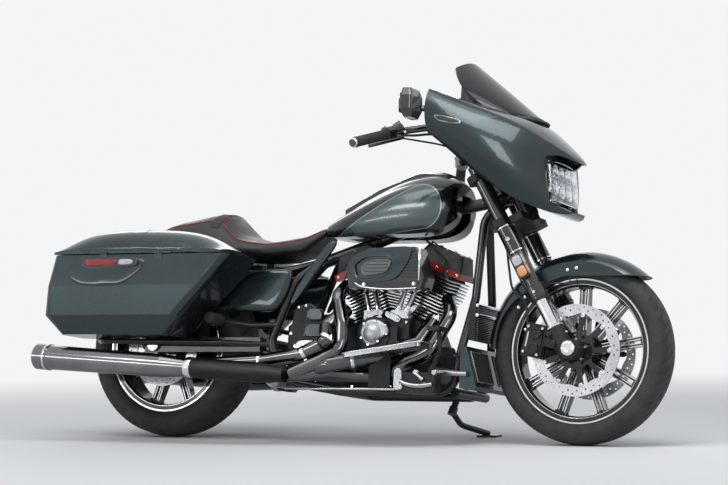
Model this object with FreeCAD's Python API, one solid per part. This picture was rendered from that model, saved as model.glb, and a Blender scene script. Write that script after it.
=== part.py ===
import FreeCAD, Part
import math
import os

os.makedirs("parts", exist_ok=True)
Vec = FreeCAD.Vector

# A touring cruiser motorcycle, drawn upright in millimetres: X forward from the rear axle,
# Y to the rider's left, Z up from the line where both tyres stand. At the end the whole bike
# leans onto its side stand, and its box's bottom centre becomes the origin.

# Stance
WHEELBASE = 1620.0
LEAN = 7.0
HEAD_RAKE = 26.0
FORK_RAKE = 29.25
TRAIL = 170.0
STEER_LOCK = 30.0
MOVE_GAP = 5.0
PIN_GAP = 1.0
SEAT_GAP = 0.3

# Front wheel and its tyre
FRONT_R = 319.0
FRONT_TYRE_HALF = 65.0
FRONT_RIM_R = 252.0
FRONT_RIM_HALF = 46.0
FRONT_DISC_R = 158.0
FRONT_DISC_Y = 78.0

# Rear wheel, its tyre, disc and pulley
REAR_R = 327.6
REAR_TYRE_HALF = 90.0
REAR_RIM_R = 241.0
REAR_RIM_HALF = 68.0
REAR_DISC_R = 146.0
REAR_DISC_Y = 96.0
PULLEY_R = 112.0
BELT_WIDTH = 24.0

# Both wheels
DISC_THICK = 5.0
RIM_WALL = 16.0
HUB_R = 44.0
AXLE_R = 12.5
SPOKE_PAIRS = 9
SPOKE_WIDTH = 11.0
SPOKE_SPREAD = 9.5

# Fork
LEG_Y = 118.0
LEG_R = 27.0
SLIDER_R = 23.0
FOOT_R = 31.0
AXLE_LEAD = 21.0
SLIDER_TOP = 213.0
SLIDER_LOW = 95.0
LEG_TOP = 742.0
STEM_R = 17.0
HEAD_R = 34.0
YOKE_LOW_Z = 781.0
YOKE_TOP_Z = 948.0
YOKE_THICK = 26.0
YOKE_RIM = 8.0

# Front fender
FENDER_R = 345.0
FENDER_HALF = 80.0
FENDER_WALL = 4.0
FENDER_SKIRT_R = 258.0
FENDER_TIP = 46.0
FENDER_TAIL = 178.0

# Engine: crank centre, cylinders' angle and stations along each cylinder
CRANK_X = 928.0
CRANK_Z = 240.0
VEE_HALF = 22.5
DECK = 205.0
HEAD_TOP = 392.0
BAND_THICK = 22.0
ROCKER_HIGH = 58.0
BARREL_R = 60.0
FIN_HALF = 74.0
FIN_THICK = 5.0
FIN_PITCH = 12.0
FIN_COUNT = 14
ROCKER_LONG = 98.0
ROCKER_WIDE = 66.0

# Frame tubes
TUBE_R = 17.0
RAIL_Y = 135.0
RAIL_Z = 166.0
SPINE_R = 22.0
DOWNTUBE_Y = 72.0
SEAT_RAIL_Y = 130.0
SEAT_RAIL_Z = 590.0
LUG_R = 8.0
TUNNEL_HALF = 40.0
REAR_GUARD_R = 372.0
REAR_GUARD_HALF = 112.0

# Swingarm
SWING_X = 470.0
SWING_Z = 330.0
ARM_Y = 128.0
ARM_WIDE = 28.0
ARM_HIGH = 52.0

# Saddlebags and their lids
BAG_IN = 172.0
BAG_WALL = 4.0
LID_Z = 636.0
LID_OPEN = 75.0

# Silencers
PIPE_R = 24.0
SILENCER_Y = 330.0
SILENCER_TIP_X = -395.0
SILENCER_TIP_Z = 269.0
SILENCER_SLOPE = -0.0575

# Footboards
BOARD_REAR = 861.0
BOARD_LONG = 295.0
BOARD_IN = 236.0
BOARD_OUT = 340.0
BOARD_Z = 268.0
BOARD_THICK = 16.0
BOARD_TILT = 8.3
BOARD_OPEN = 40.0

# Side stand
STAND_PIVOT = Vec(1075, 135, 118)
STAND_FOOT_X = 1150.0
STAND_FOOT_Y = 292.0
STAND_R = 11.0
STAND_OPEN = 100.0

# Handlebar
BAR_R = 13.0
GRIP_R = 18.0

# Points that many pieces share
FRONT_AXLE = Vec(WHEELBASE, 0, FRONT_R)
REAR_AXLE = Vec(0, 0, REAR_R)
UP = Vec(0, 0, 1)
ALONG_Y = Vec(0, 1, 0)


# Small makers of solids

def box(x0, x1, y0, y1, z0, z1):
    return Part.makeBox(x1 - x0, y1 - y0, z1 - z0, Vec(x0, y0, z0))


def rod(start, end, radius):
    way = end - start
    return Part.makeCylinder(radius, way.Length, start, way)


def tube(start, end, outer, inner):
    return rod(start, end, outer).cut(rod(start, end, inner))


def disc(centre, radius, y0, y1):
    return Part.makeCylinder(radius, y1 - y0, Vec(centre.x, y0, centre.z), ALONG_Y)


def plate(outline, y0, y1):
    """A flat plate across Y whose outline is a list of (x, z) corners."""
    points = [Vec(x, y0, z) for x, z in outline]
    face = Part.Face(Part.makePolygon(points + points[:1]))
    return face.extrude(Vec(0, y1 - y0, 0))


def mirrored(shape):
    return shape.mirror(Vec(0, 0, 0), ALONG_Y)


def both_sides(shape):
    return [shape, mirrored(shape)]


def fused(shapes):
    whole = shapes[0].fuse(shapes[1:]) if len(shapes) > 1 else shapes[0]
    return whole.removeSplitter()


def pipe(points, radius, bend):
    """A round tube along straight runs that tangent arcs join."""
    edges = []
    last = points[0]
    for before, corner, after in zip(points, points[1:], points[2:]):
        run_in = (before - corner).normalize()
        run_out = (after - corner).normalize()
        half_turn = (math.pi - run_in.getAngle(run_out)) / 2
        shorter = min((before - corner).Length, (after - corner).Length)
        set_back = min(bend * math.tan(half_turn), 0.45 * shorter)
        start = corner + run_in * set_back
        end = corner + run_out * set_back
        arc_r = set_back / math.tan(half_turn)
        bisector = (run_in + run_out).normalize()
        centre = corner + bisector * (arc_r / math.cos(half_turn))
        middle = centre - bisector * arc_r
        edges.append(Part.LineSegment(last, start).toShape())
        edges.append(Part.Arc(start, middle, end).toShape())
        last = end
    edges.append(Part.LineSegment(last, points[-1]).toShape())
    ring = Part.Wire(Part.makeCircle(radius, points[0], points[1] - points[0]))
    return Part.Wire(edges).makePipeShell([ring], True, False)


def turned(profile, start, along):
    """A solid of revolution: profile rows are (distance along the axis, radius)."""
    way = Vec(along).normalize()
    side = way.cross(ALONG_Y)
    if side.Length < 0.1:
        side = way.cross(UP)
    side.normalize()
    rows = [(profile[0][0], 0)] + list(profile) + [(profile[-1][0], 0)]
    points = [start + way * a + side * r for a, r in rows]
    face = Part.Face(Part.makePolygon(points + points[:1]))
    return face.revolve(start, way, 360)


def arch(x, half, foot, low, waist, shoulder, side_top, top):
    """A closed section across X: flat bottom, two bowed sides and an arched top."""
    right_low = Vec(x, -foot, low)
    left_low = Vec(x, foot, low)
    right_top = Vec(x, -shoulder, side_top)
    left_top = Vec(x, shoulder, side_top)
    edges = [Part.LineSegment(right_low, left_low).toShape(),
             Part.Arc(left_low, Vec(x, half, waist), left_top).toShape(),
             Part.Arc(left_top, Vec(x, 0, top), right_top).toShape(),
             Part.Arc(right_top, Vec(x, -half, waist), right_low).toShape()]
    return Part.Wire(edges)


def rounded_plan(z, x0, x1, y0, y1, corner):
    """A closed rectangle at height z with four round corners."""
    c = corner
    k = c * (1 - math.sqrt(0.5))
    edges = [Part.LineSegment(Vec(x0 + c, y0, z), Vec(x1 - c, y0, z)).toShape(),
             Part.Arc(Vec(x1 - c, y0, z), Vec(x1 - k, y0 + k, z), Vec(x1, y0 + c, z)).toShape(),
             Part.LineSegment(Vec(x1, y0 + c, z), Vec(x1, y1 - c, z)).toShape(),
             Part.Arc(Vec(x1, y1 - c, z), Vec(x1 - k, y1 - k, z), Vec(x1 - c, y1, z)).toShape(),
             Part.LineSegment(Vec(x1 - c, y1, z), Vec(x0 + c, y1, z)).toShape(),
             Part.Arc(Vec(x0 + c, y1, z), Vec(x0 + k, y1 - k, z), Vec(x0, y1 - c, z)).toShape(),
             Part.LineSegment(Vec(x0, y1 - c, z), Vec(x0, y0 + c, z)).toShape(),
             Part.Arc(Vec(x0, y0 + c, z), Vec(x0 + k, y0 + k, z), Vec(x0 + c, y0, z)).toShape()]
    return Part.Wire(edges)


# Steering geometry

STEER_BASE = Vec(WHEELBASE + TRAIL, 0, 0)
STEER_DIR = Vec(-math.sin(math.radians(HEAD_RAKE)), 0, math.cos(math.radians(HEAD_RAKE)))
FORK_DIR = Vec(-math.sin(math.radians(FORK_RAKE)), 0, math.cos(math.radians(FORK_RAKE)))
FORK_FORWARD = Vec(FORK_DIR.z, 0, -FORK_DIR.x)
FORK_BASE = FRONT_AXLE - FORK_FORWARD * AXLE_LEAD


def steer_point(z):
    return STEER_BASE + STEER_DIR * (z / STEER_DIR.z)


def fork_point(along, y):
    return FORK_BASE + FORK_DIR * along + Vec(0, y, 0)


def fork_at(z, y):
    return fork_point((z - FORK_BASE.z) / FORK_DIR.z, y)


def on_fork(shape):
    """Tilts a solid drawn with +Z up the leg and +X forward onto the leg line."""
    placed = shape.copy()
    placed.rotate(Vec(0, 0, 0), ALONG_Y, -FORK_RAKE)
    placed.translate(FORK_BASE)
    return placed


def on_stem(shape, z):
    """Tilts a solid drawn with +Z up the stem onto the steering axis at height z."""
    placed = shape.copy()
    placed.rotate(Vec(0, 0, 0), ALONG_Y, -HEAD_RAKE)
    placed.translate(steer_point(z))
    return placed


# Wheels. A tyre's section has a facet beside the crown that lies flat on the ground when the
# bike leans, so the axle height is the tyre's radius.

LEAN_TAN = math.tan(math.radians(LEAN))
# columns: share of the half width, share of the section's height below the crown
TYRE_SECTION = [(0.42, None), (1.0, 0.6)]
BEAD_SHARE = 0.8


def tyre(centre, radius, half, rim_r):
    high = radius - rim_r
    side = []
    for share, drop in TYRE_SECTION:
        y = half * share
        side.append((y, radius - (y * LEAN_TAN if drop is None else high * drop)))
    side.append((half * BEAD_SHARE, rim_r))
    outline = [(-y, r) for y, r in reversed(side)] + [(0, radius)] + side
    points = [Vec(centre.x, y, centre.z + r) for y, r in outline]
    face = Part.Face(Part.makePolygon(points + points[:1]))
    return face.revolve(centre, ALONG_Y, 360)


def spoke_pair(centre, angle, root_r, tip_r, root_half, tip_half):
    """Two bars side by side from the hub to the rim, splayed towards the rim."""
    bars = []
    for side in (-1, 1):
        wires = []
        # columns: radius, distance off the pair's middle line, half width, half depth
        for r, off, w, d in ((root_r, SPOKE_SPREAD * 0.8, SPOKE_WIDTH * 0.62, root_half),
                             (tip_r, SPOKE_SPREAD * 1.25, SPOKE_WIDTH * 0.5, tip_half)):
            t0 = side * off - w
            t1 = side * off + w
            wires.append(Part.makePolygon([Vec(t0, -d, r), Vec(t1, -d, r), Vec(t1, d, r),
                                           Vec(t0, d, r), Vec(t0, -d, r)]))
        bars.append(Part.makeLoft(wires, True, True))
    pair = bars[0].fuse(bars[1])
    pair.rotate(Vec(0, 0, 0), ALONG_Y, angle)
    pair.translate(centre)
    return pair


def rim(centre, rim_r, half, hub_half, bore):
    """Barrel with two flanges, paired spokes and hub in one casting."""
    well = rim_r - RIM_WALL
    flange = 7.0
    section = [(-half, well - 8), (-half, rim_r), (-half + flange, rim_r),
               (-half + flange, rim_r - 8), (half - flange, rim_r - 8),
               (half - flange, rim_r), (half, rim_r), (half, well - 8),
               (half - 14, well - 14), (-half + 14, well - 14)]
    points = [Vec(centre.x, y, centre.z + r) for y, r in section]
    barrel = Part.Face(Part.makePolygon(points + points[:1])).revolve(centre, ALONG_Y, 360)
    hub = disc(centre, HUB_R, -hub_half, hub_half)
    pairs = [spoke_pair(centre, 360.0 * k / SPOKE_PAIRS, HUB_R - 6, well - 10, 26, 17)
             for k in range(SPOKE_PAIRS)]
    return fused([barrel, hub] + pairs).cut(disc(centre, bore, -200, 200))


def brake_disc(centre, radius, y_in, y_out, band, lobes):
    """A ring with inward lobes, on a round carrier that bolts to the hub."""
    ring = disc(centre, radius, y_in, y_out).cut(disc(centre, radius - band, y_in, y_out))
    parts = [ring]
    for k in range(lobes):
        arm = box(-15, 15, y_in, y_out, HUB_R - 8, radius - band + 3)
        arm.rotate(Vec(0, 0, 0), ALONG_Y, 360.0 * (k + 0.5) / lobes)
        arm.translate(centre)
        parts.append(arm)
    parts.append(disc(centre, HUB_R + 6, y_in, y_out))
    return fused(parts).cut(disc(centre, AXLE_R + 14, y_in - 1, y_out + 1))


FRONT_HUB_HALF = FRONT_DISC_Y - DISC_THICK / 2
front_tyre = tyre(FRONT_AXLE, FRONT_R, FRONT_TYRE_HALF, FRONT_RIM_R)
front_rim = rim(FRONT_AXLE, FRONT_RIM_R, FRONT_RIM_HALF, FRONT_HUB_HALF, AXLE_R + PIN_GAP)
front_discs = both_sides(brake_disc(FRONT_AXLE, FRONT_DISC_R, FRONT_HUB_HALF,
                                    FRONT_HUB_HALF + DISC_THICK, 34, 9))

REAR_HUB_HALF = REAR_DISC_Y - DISC_THICK / 2
rear_tyre = tyre(REAR_AXLE, REAR_R, REAR_TYRE_HALF, REAR_RIM_R)
rear_rim = rim(REAR_AXLE, REAR_RIM_R, REAR_RIM_HALF, REAR_HUB_HALF, AXLE_R + PIN_GAP)
rear_disc = brake_disc(REAR_AXLE, REAR_DISC_R, -REAR_HUB_HALF - DISC_THICK, -REAR_HUB_HALF, 34, 9)

# The pulley bolts to the hub's left face. Its flanges stand out beside the belt.
FLANGE = 3.0
PULLEY_IN = REAR_HUB_HALF
BELT_IN = PULLEY_IN + FLANGE + MOVE_GAP
BELT_OUT = BELT_IN + BELT_WIDTH - 2 * MOVE_GAP
PULLEY_OUT = BELT_OUT + MOVE_GAP + FLANGE
rear_pulley = fused([
    disc(REAR_AXLE, PULLEY_R + 8, PULLEY_IN, PULLEY_IN + FLANGE),
    disc(REAR_AXLE, PULLEY_R, PULLEY_IN, PULLEY_OUT),
    disc(REAR_AXLE, PULLEY_R + 8, PULLEY_OUT - FLANGE, PULLEY_OUT)])
rear_pulley = rear_pulley.cut(disc(REAR_AXLE, AXLE_R + 14, PULLEY_IN - 1, PULLEY_OUT + 1))
for k in range(5):
    window = box(-20, 20, PULLEY_IN - 1, PULLEY_OUT + 1, HUB_R + 8, PULLEY_R - 16)
    window.rotate(Vec(0, 0, 0), ALONG_Y, 72 * k)
    window.translate(REAR_AXLE)
    rear_pulley = rear_pulley.cut(window)

# Drive belt: one taut loop from the gearbox pulley to the wheel's pulley
DRIVE_X = 600.0
DRIVE_Z = 330.0
DRIVE_R = 46.0
BELT_THICK = 6.0


def belt_loop(extra):
    """The filled loop round both pulleys at a distance outside their faces."""
    big = PULLEY_R + MOVE_GAP + extra
    small = DRIVE_R + extra
    front = Vec(DRIVE_X, 0, DRIVE_Z)
    way = front - REAR_AXLE
    tilt = math.asin((big - small) / way.Length)
    base = math.atan2(way.z, way.x)
    corners = []
    for side in (1, -1):
        turn = base + side * (math.pi / 2 - tilt)
        unit = Vec(math.cos(turn), 0, math.sin(turn))
        corners.append((REAR_AXLE + unit * big, front + unit * small))
    outline = [corners[0][0], corners[0][1], corners[1][1], corners[1][0]]
    web = plate([(p.x, p.z) for p in outline], BELT_IN, BELT_OUT)
    return fused([web, disc(REAR_AXLE, big, BELT_IN, BELT_OUT),
                  disc(front, small, BELT_IN, BELT_OUT)])


drive_belt = belt_loop(BELT_THICK).cut(belt_loop(0))
GEARBOX_HALF = 96.0
drive_pulley = disc(Vec(DRIVE_X, 0, DRIVE_Z), DRIVE_R, GEARBOX_HALF, BELT_OUT + 2)

# Fork: outer tubes in two yokes, bright sliders below, and feet that hold the axle
fork_outer_tubes = both_sides(rod(fork_point(SLIDER_TOP, LEG_Y), fork_point(LEG_TOP, LEG_Y), LEG_R))
fork_sliders = both_sides(rod(fork_point(SLIDER_LOW, LEG_Y), fork_point(SLIDER_TOP, LEG_Y),
                              SLIDER_R))
FOOT_IN = FRONT_DISC_Y + DISC_THICK / 2 + MOVE_GAP
FOOT_OUT = LEG_Y + FOOT_R + 1.5
FOOT_END = 34.0
foot = fused([
    rod(fork_point(-20, LEG_Y), fork_point(SLIDER_LOW, LEG_Y), FOOT_R),
    disc(FRONT_AXLE, FOOT_END, FOOT_IN, FOOT_OUT)])
foot = foot.cut(disc(FRONT_AXLE, AXLE_R, 0, 300)).cut(box(0, 3000, 0, FOOT_IN, 0, 3000))
fork_feet = both_sides(foot)

AXLE_END = FOOT_OUT + 9
front_axle = fused([disc(FRONT_AXLE, AXLE_R, -AXLE_END, AXLE_END)]
                   + both_sides(disc(FRONT_AXLE, AXLE_R + 9, FOOT_OUT, AXLE_END)))
AXLE_BORE_R = AXLE_R - 5
front_axle = front_axle.cut(disc(FRONT_AXLE, AXLE_BORE_R, -AXLE_END, AXLE_END))


def yoke(z, low, high):
    """A clamp plate square to the steering axis that reaches back to both legs."""
    leg = fork_at(z, 0)
    reach = (steer_point(z) - leg).Length
    rim_r = LEG_R + YOKE_RIM
    arm = box(-reach - 12, 12, -LEG_Y, LEG_Y, low, high)
    parts = [arm, Part.makeCylinder(rim_r - 4, high - low, Vec(0, 0, low))]
    for y in (-LEG_Y, LEG_Y):
        parts.append(Part.makeCylinder(rim_r, high - low, Vec(-reach - 2, y, low)))
    return on_stem(fused(parts), z)


fork_stem = rod(steer_point(YOKE_LOW_Z), steer_point(YOKE_TOP_Z), STEM_R)
fork_yokes = fused([yoke(YOKE_LOW_Z, -YOKE_THICK / 2, YOKE_THICK / 2),
                    yoke(YOKE_TOP_Z, -YOKE_THICK / 2, YOKE_THICK / 2), fork_stem])
for leg in fork_outer_tubes:
    fork_yokes = fork_yokes.cut(leg)

# Fork covers: black shields ahead of the legs between the yokes and down to the lamps
COVER_WALL = 5.0
COVER_TOP = 488.0
COVER_LOW = 395.0
cover = rod(fork_point(COVER_LOW, LEG_Y), fork_point(COVER_TOP, LEG_Y), LEG_R + COVER_WALL)
fork_cover = cover.cut(rod(fork_point(0, LEG_Y), fork_point(LEG_TOP, LEG_Y), LEG_R + SEAT_GAP))
COLLAR_LOW = SLIDER_TOP - 6
COLLAR_TOP = SLIDER_TOP + 44
collar = tube(fork_point(COLLAR_LOW, LEG_Y), fork_point(COLLAR_TOP, LEG_Y), LEG_R + 6, LEG_R)
collar = collar.cut(rod(fork_point(0, LEG_Y), fork_point(SLIDER_TOP, LEG_Y), SLIDER_R))
fork_covers = both_sides(fork_cover) + both_sides(collar)

# Fork lamps: upright turn lamps on the outside of each leg
LAMP_LOW = 290.0
LAMP_TOP = 375.0
LAMP_OUT = LEG_Y + LEG_R + 24
lamp = box(-19, 19, LEG_Y + LEG_R + 1, LAMP_OUT, LAMP_LOW, LAMP_TOP)
lamp_arm = box(-13, 13, LEG_Y, LEG_Y + LEG_R + 1, LAMP_LOW + 12, LAMP_TOP - 12)
lamp_leg = Part.makeCylinder(LEG_R, 1000, Vec(0, LEG_Y, 0))
fork_lamps = both_sides(on_fork(fused([lamp, lamp_arm]).cut(lamp_leg)))

# Front fender: a crowned mudguard round the tyre, its side skirt cut low behind the fork

def guard_section(inset, low):
    half = FENDER_HALF - inset
    top = FENDER_R - inset
    side_r = FENDER_R - 40
    x, z = FRONT_AXLE.x, FRONT_AXLE.z
    crown = Part.Arc(Vec(x, -half, z + side_r), Vec(x, 0, z + top), Vec(x, half, z + side_r))
    edges = [Part.LineSegment(Vec(x, -half, z + low), Vec(x, -half, z + side_r)).toShape(),
             crown.toShape(),
             Part.LineSegment(Vec(x, half, z + side_r), Vec(x, half, z + low)).toShape(),
             Part.LineSegment(Vec(x, half, z + low), Vec(x, -half, z + low)).toShape()]
    return Part.Face(Part.Wire(edges))


def guard_ring(inset, low, start, end):
    face = guard_section(inset, low)
    face.rotate(FRONT_AXLE, ALONG_Y, 90 - start)
    return face.revolve(FRONT_AXLE, Vec(0, -1, 0), end - start)


FENDER_EDGE_Z = 574.0
guard = guard_ring(0, FENDER_SKIRT_R, FENDER_TIP, FENDER_TAIL)
guard = guard.cut(guard_ring(FENDER_WALL, FENDER_SKIRT_R - 5, FENDER_TIP - 2, FENDER_TAIL + 2))
guard = guard.cut(box(WHEELBASE - 30, WHEELBASE + 400, -200, 200, 0, FENDER_EDGE_Z))
guard = guard.cut(disc(FRONT_AXLE - Vec(75, 0, 0), 230, -200, 200))
mounts = []
for along in (268, 300):
    seat = fork_point(along, 0)
    mounts.append(disc(seat, 9, FENDER_HALF - FENDER_WALL / 2, LEG_Y))
fender_parts = [guard]
for m in mounts:
    leg_room = rod(fork_point(0, LEG_Y), fork_point(LEG_TOP, LEG_Y), LEG_R + SEAT_GAP)
    fender_parts += both_sides(m.cut(leg_room))
front_fender = fused(fender_parts)

# Front calipers: one behind each leg, slotted over the disc
CALIPER_ANGLE = 168.0
CALIPER_LOW = 112.0
CALIPER_TOP = 186.0
SLOT_HALF = DISC_THICK / 2 + MOVE_GAP + 0.5
caliper = box(CALIPER_LOW, CALIPER_TOP, FRONT_DISC_Y - 24, FRONT_DISC_Y + 26, -58, 58)
caliper = caliper.cut(box(0, FRONT_DISC_R + MOVE_GAP, FRONT_DISC_Y - SLOT_HALF,
                          FRONT_DISC_Y + SLOT_HALF, -99, 99))
carrier = box(44, CALIPER_LOW + 2, FRONT_DISC_Y + SLOT_HALF + 2, FRONT_DISC_Y + 24, -20, 12)
caliper = caliper.fuse(carrier)
caliper.rotate(Vec(0, 0, 0), ALONG_Y, -CALIPER_ANGLE)
caliper.translate(Vec(FRONT_AXLE.x, 0, FRONT_AXLE.z))
for leg_part in (fork_feet[0], fork_sliders[0], fork_outer_tubes[0],
                 disc(FRONT_AXLE, FOOT_END, FOOT_IN - 1, FOOT_OUT)):
    caliper = caliper.cut(leg_part)
front_calipers = both_sides(sorted(caliper.Solids, key=lambda s: -s.Volume)[0])

# Fairing: one hollow shell from the nose to its two rear wings. It turns with the fork.
# columns: x from the front axle, half width, half width at the foot, foot z, waist z, shoulder,
# shoulder z, top z
FAIRING = [(-26, 42, 32, 800, 900, 34, 970, 984),
           (-48, 96, 74, 786, 905, 82, 992, 1008),
           (-90, 148, 120, 788, 918, 126, 1020, 1048),
           (-170, 232, 188, 818, 955, 196, 1072, 1112),
           (-270, 308, 250, 878, 1010, 262, 1120, 1152),
           (-370, 356, 304, 962, 1075, 310, 1160, 1180),
           (-460, 384, 352, 1040, 1115, 350, 1192, 1202)]
FAIRING_WALL = 5.0


def fairing_loft(inset, rows):
    w = inset
    wires = [arch(WHEELBASE + x - w, half - w, foot - w, low + w, waist, shoulder - w, side_top - w,
                  top - w)
             for x, half, foot, low, waist, shoulder, side_top, top in rows]
    return Part.makeLoft(wires, True, False)


fairing_solid = fairing_loft(0, FAIRING)
fairing_cavity = fairing_loft(FAIRING_WALL, FAIRING)
FORK_OPENING_FRONT = WHEELBASE - 150
FORK_OPENING_HALF = 175.0
OPENINGS_REAR = WHEELBASE - 620
# The lamp's slanted face stands back under the brow. Rows are x from the front axle, and z.
LAMP_FACE = [(-106, 978), (-90, 820)]
LAMP_DEPTH = 30.0
NOSE_RECESS = [(30, 966), (-26, 971), (-72, 986)] + LAMP_FACE + [(-44, 797), (30, 794)]


def from_axle(rows):
    return [(WHEELBASE + x, z) for x, z in rows]


lamp_bay = plate(from_axle(NOSE_RECESS), -300, 300)
DASH_REAR = WHEELBASE - 394
BAR_OPENING_HALF = 300.0
BAR_OPENING_TOP = 1100.0
bar_bay = box(OPENINGS_REAR, DASH_REAR, -BAR_OPENING_HALF, BAR_OPENING_HALF, 700, BAR_OPENING_TOP)
fork_bay = box(OPENINGS_REAR, FORK_OPENING_FRONT, -FORK_OPENING_HALF, FORK_OPENING_HALF, 700, 1000)
fairing_outer = fairing_solid.cut(fairing_cavity).cut(lamp_bay).cut(fork_bay).cut(bar_bay)

DASH_THICK = 22.0
fairing_inner = fairing_cavity.common(box(DASH_REAR, DASH_REAR + DASH_THICK, -400, 400, 1000, 1300))
LAMP_LAP = 14.0
(face_top_x, face_top_z), (face_low_x, face_low_z) = LAMP_FACE
lamp_slab = plate(from_axle([(face_top_x, face_top_z + LAMP_LAP), (face_low_x, face_low_z - LAMP_LAP),
                             (face_low_x - LAMP_DEPTH, face_low_z - LAMP_LAP),
                             (face_top_x - LAMP_DEPTH, face_top_z + LAMP_LAP)]), -300, 300)
headlamp = fairing_cavity.common(lamp_slab)

# Two struts from the top yoke carry the fairing at the back of its lamp
STRUT_Y = 70.0
STRUT_R = 8.0
strut = rod(Vec(WHEELBASE - 290, STRUT_Y, YOKE_TOP_Z + 2), Vec(WHEELBASE - 110, STRUT_Y, 926), STRUT_R)
fork_yokes = fused([fork_yokes] + both_sides(strut.cut(headlamp)))

# Windshield: a short dark screen on the fairing's crown
SHIELD_WALL = 4.0
SHIELD_BASE = (WHEELBASE - 188, 1128.0)
SHIELD_MID = (WHEELBASE - 316, 1234.0)
SHIELD_TOP = (WHEELBASE - 442, 1336.0)


def shield_bow(x, z, half, drop, lift):
    return Part.Arc(Vec(x - drop, -half, z - lift), Vec(x, 0, z), Vec(x - drop, half, z - lift))


def shield_face(shift):
    low = shield_bow(SHIELD_BASE[0], SHIELD_BASE[1] + shift, 168, 118, -6)
    mid = shield_bow(SHIELD_MID[0], SHIELD_MID[1] + shift, 182, 84, 22)
    top = shield_bow(SHIELD_TOP[0], SHIELD_TOP[1] + shift, 120, 26, 34)
    return [Part.Wire(b.toShape()) for b in (low, mid, top)]


shield_skin = Part.makeLoft(shield_face(0), False, False)
windshield = shield_skin.extrude(Vec(0, 0, SHIELD_WALL * 2))
if windshield.ShapeType != "Solid":
    windshield = windshield.Solids[0]
windshield = windshield.cut(fairing_solid)

# Handlebar on its riser, then grips and the hand controls
# columns: x from the front axle, y, z
BAR_WAY = [(-417, 0, 1010), (-417, 110, 1010), (-510, 215, 1084), (-605, 275, 1062),
           (-695, 458, 994)]
half_bar = [Vec(WHEELBASE + x, y, z) for x, y, z in BAR_WAY]
whole_way = [Vec(p.x, -p.y, p.z) for p in reversed(half_bar[1:])] + half_bar[1:]
handlebar_tube = pipe(whole_way, BAR_R, 60)
RISER_HALF = 34.0
RISER_DEEP = 30.0
# columns: x from the bar's middle, z
RISER = [(-RISER_DEEP / 2, half_bar[0].z), (RISER_DEEP / 2, half_bar[0].z), (RISER_DEEP / 2, 996),
         (79, 936), (33, 912)]
riser = plate([(half_bar[0].x + x, z) for x, z in RISER], -RISER_HALF, RISER_HALF)
handlebar = fused([handlebar_tube, riser.cut(fork_yokes)])

grip_dir = (half_bar[4] - half_bar[3]).normalize()
grip_start = half_bar[3] + grip_dir * 62
grip_end = half_bar[3] + grip_dir * 205
grips = both_sides(tube(grip_start, grip_end, GRIP_R, BAR_R))

control = tube(half_bar[3] + grip_dir * 22, half_bar[3] + grip_dir * 60, 27, BAR_R)
lever_root = half_bar[3] + grip_dir * 36 + Vec(18, 0, -8)
lever_end = half_bar[3] + grip_dir * 196 + Vec(52, 0, -16)
lever = pipe([lever_root, lever_root + Vec(34, -6, -6), lever_end], 6, 30)
tank_pot = rod(half_bar[3] + grip_dir * 30 + Vec(10, 0, 14), half_bar[3] + grip_dir * 30
               + Vec(34, -6, 30), 19)
tank_pot = tank_pot.cut(rod(half_bar[3], half_bar[4], BAR_R))
hand_controls = both_sides(fused([control, lever, tank_pot]).cut(handlebar_tube))

# Mirrors beside the fairing's wings
MIRROR_OUT = 480.0
MIRROR_WIDE = 108.0
MIRROR_X = WHEELBASE - 516
MIRROR_IN = MIRROR_OUT - MIRROR_WIDE
# columns: z, rear and front x from the mirror's rear, inner and outer set-back, corner
MIRROR_ROWS = [(1076, 14, 42, 22, 16, 10), (1104, 0, 48, 0, 0, 16), (1150, 2, 48, 0, 0, 16),
               (1176, 8, 40, 12, 10, 10)]
mirror_shell = Part.makeLoft([
    rounded_plan(z, MIRROR_X + rear, MIRROR_X + front, MIRROR_IN + inner, MIRROR_OUT - outer, corner)
    for z, rear, front, inner, outer, corner in MIRROR_ROWS], True, True)
STALK_Z = 1120.0
STALK_R = 11.0
STALK_ROOT_Y = FAIRING[-1][1] - 44
mirror_stalk = rod(Vec(MIRROR_X + 86, STALK_ROOT_Y, STALK_Z), Vec(MIRROR_X + 26, MIRROR_IN + 20, STALK_Z),
                   STALK_R)
mirror = fused([mirror_shell, mirror_stalk]).cut(fairing_solid)
mirrors = both_sides(mirror)

# Engine: crankcase with gearbox, two finned cylinders in a vee, their heads and rocker boxes

def on_cylinder(shape, front):
    """Tilts a solid drawn up from the crank onto the front or the rear cylinder's axis."""
    placed = shape.copy()
    placed.rotate(Vec(0, 0, 0), ALONG_Y, VEE_HALF if front else -VEE_HALF)
    placed.translate(Vec(CRANK_X, 0, CRANK_Z))
    return placed


CASE_HALF = 105.0
case_outline = [(780, 172), (1052, 172), (1082, 210), (1082, 330), (1040, 420), (985, 462),
                (928, 440), (871, 462), (800, 430), (760, 418), (760, 200)]
case_block = plate(case_outline, -CASE_HALF, CASE_HALF)
for front in (True, False):
    above = box(-150, 150, -200, 200, DECK, DECK + 200)
    case_block = case_block.cut(on_cylinder(above, front))
gearbox = plate([(520, 186), (760, 186), (760, 430), (700, 446), (560, 432), (520, 400)],
                -GEARBOX_HALF, GEARBOX_HALF)
gear_cover = plate([(566, 470), (612, 480), (668, 440), (690, 380), (690, 318), (560, 318),
                    (540, 370)], -GEARBOX_HALF - 32, -GEARBOX_HALF)
clutch_box = box(584, 699, -GEARBOX_HALF - 54, -GEARBOX_HALF, 306, 356)
oil_filter = rod(Vec(1076, -60, 300), Vec(1150, -60, 290), 38)
crankcase = fused([case_block, gearbox, drive_pulley, gear_cover, clutch_box, oil_filter])


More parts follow.
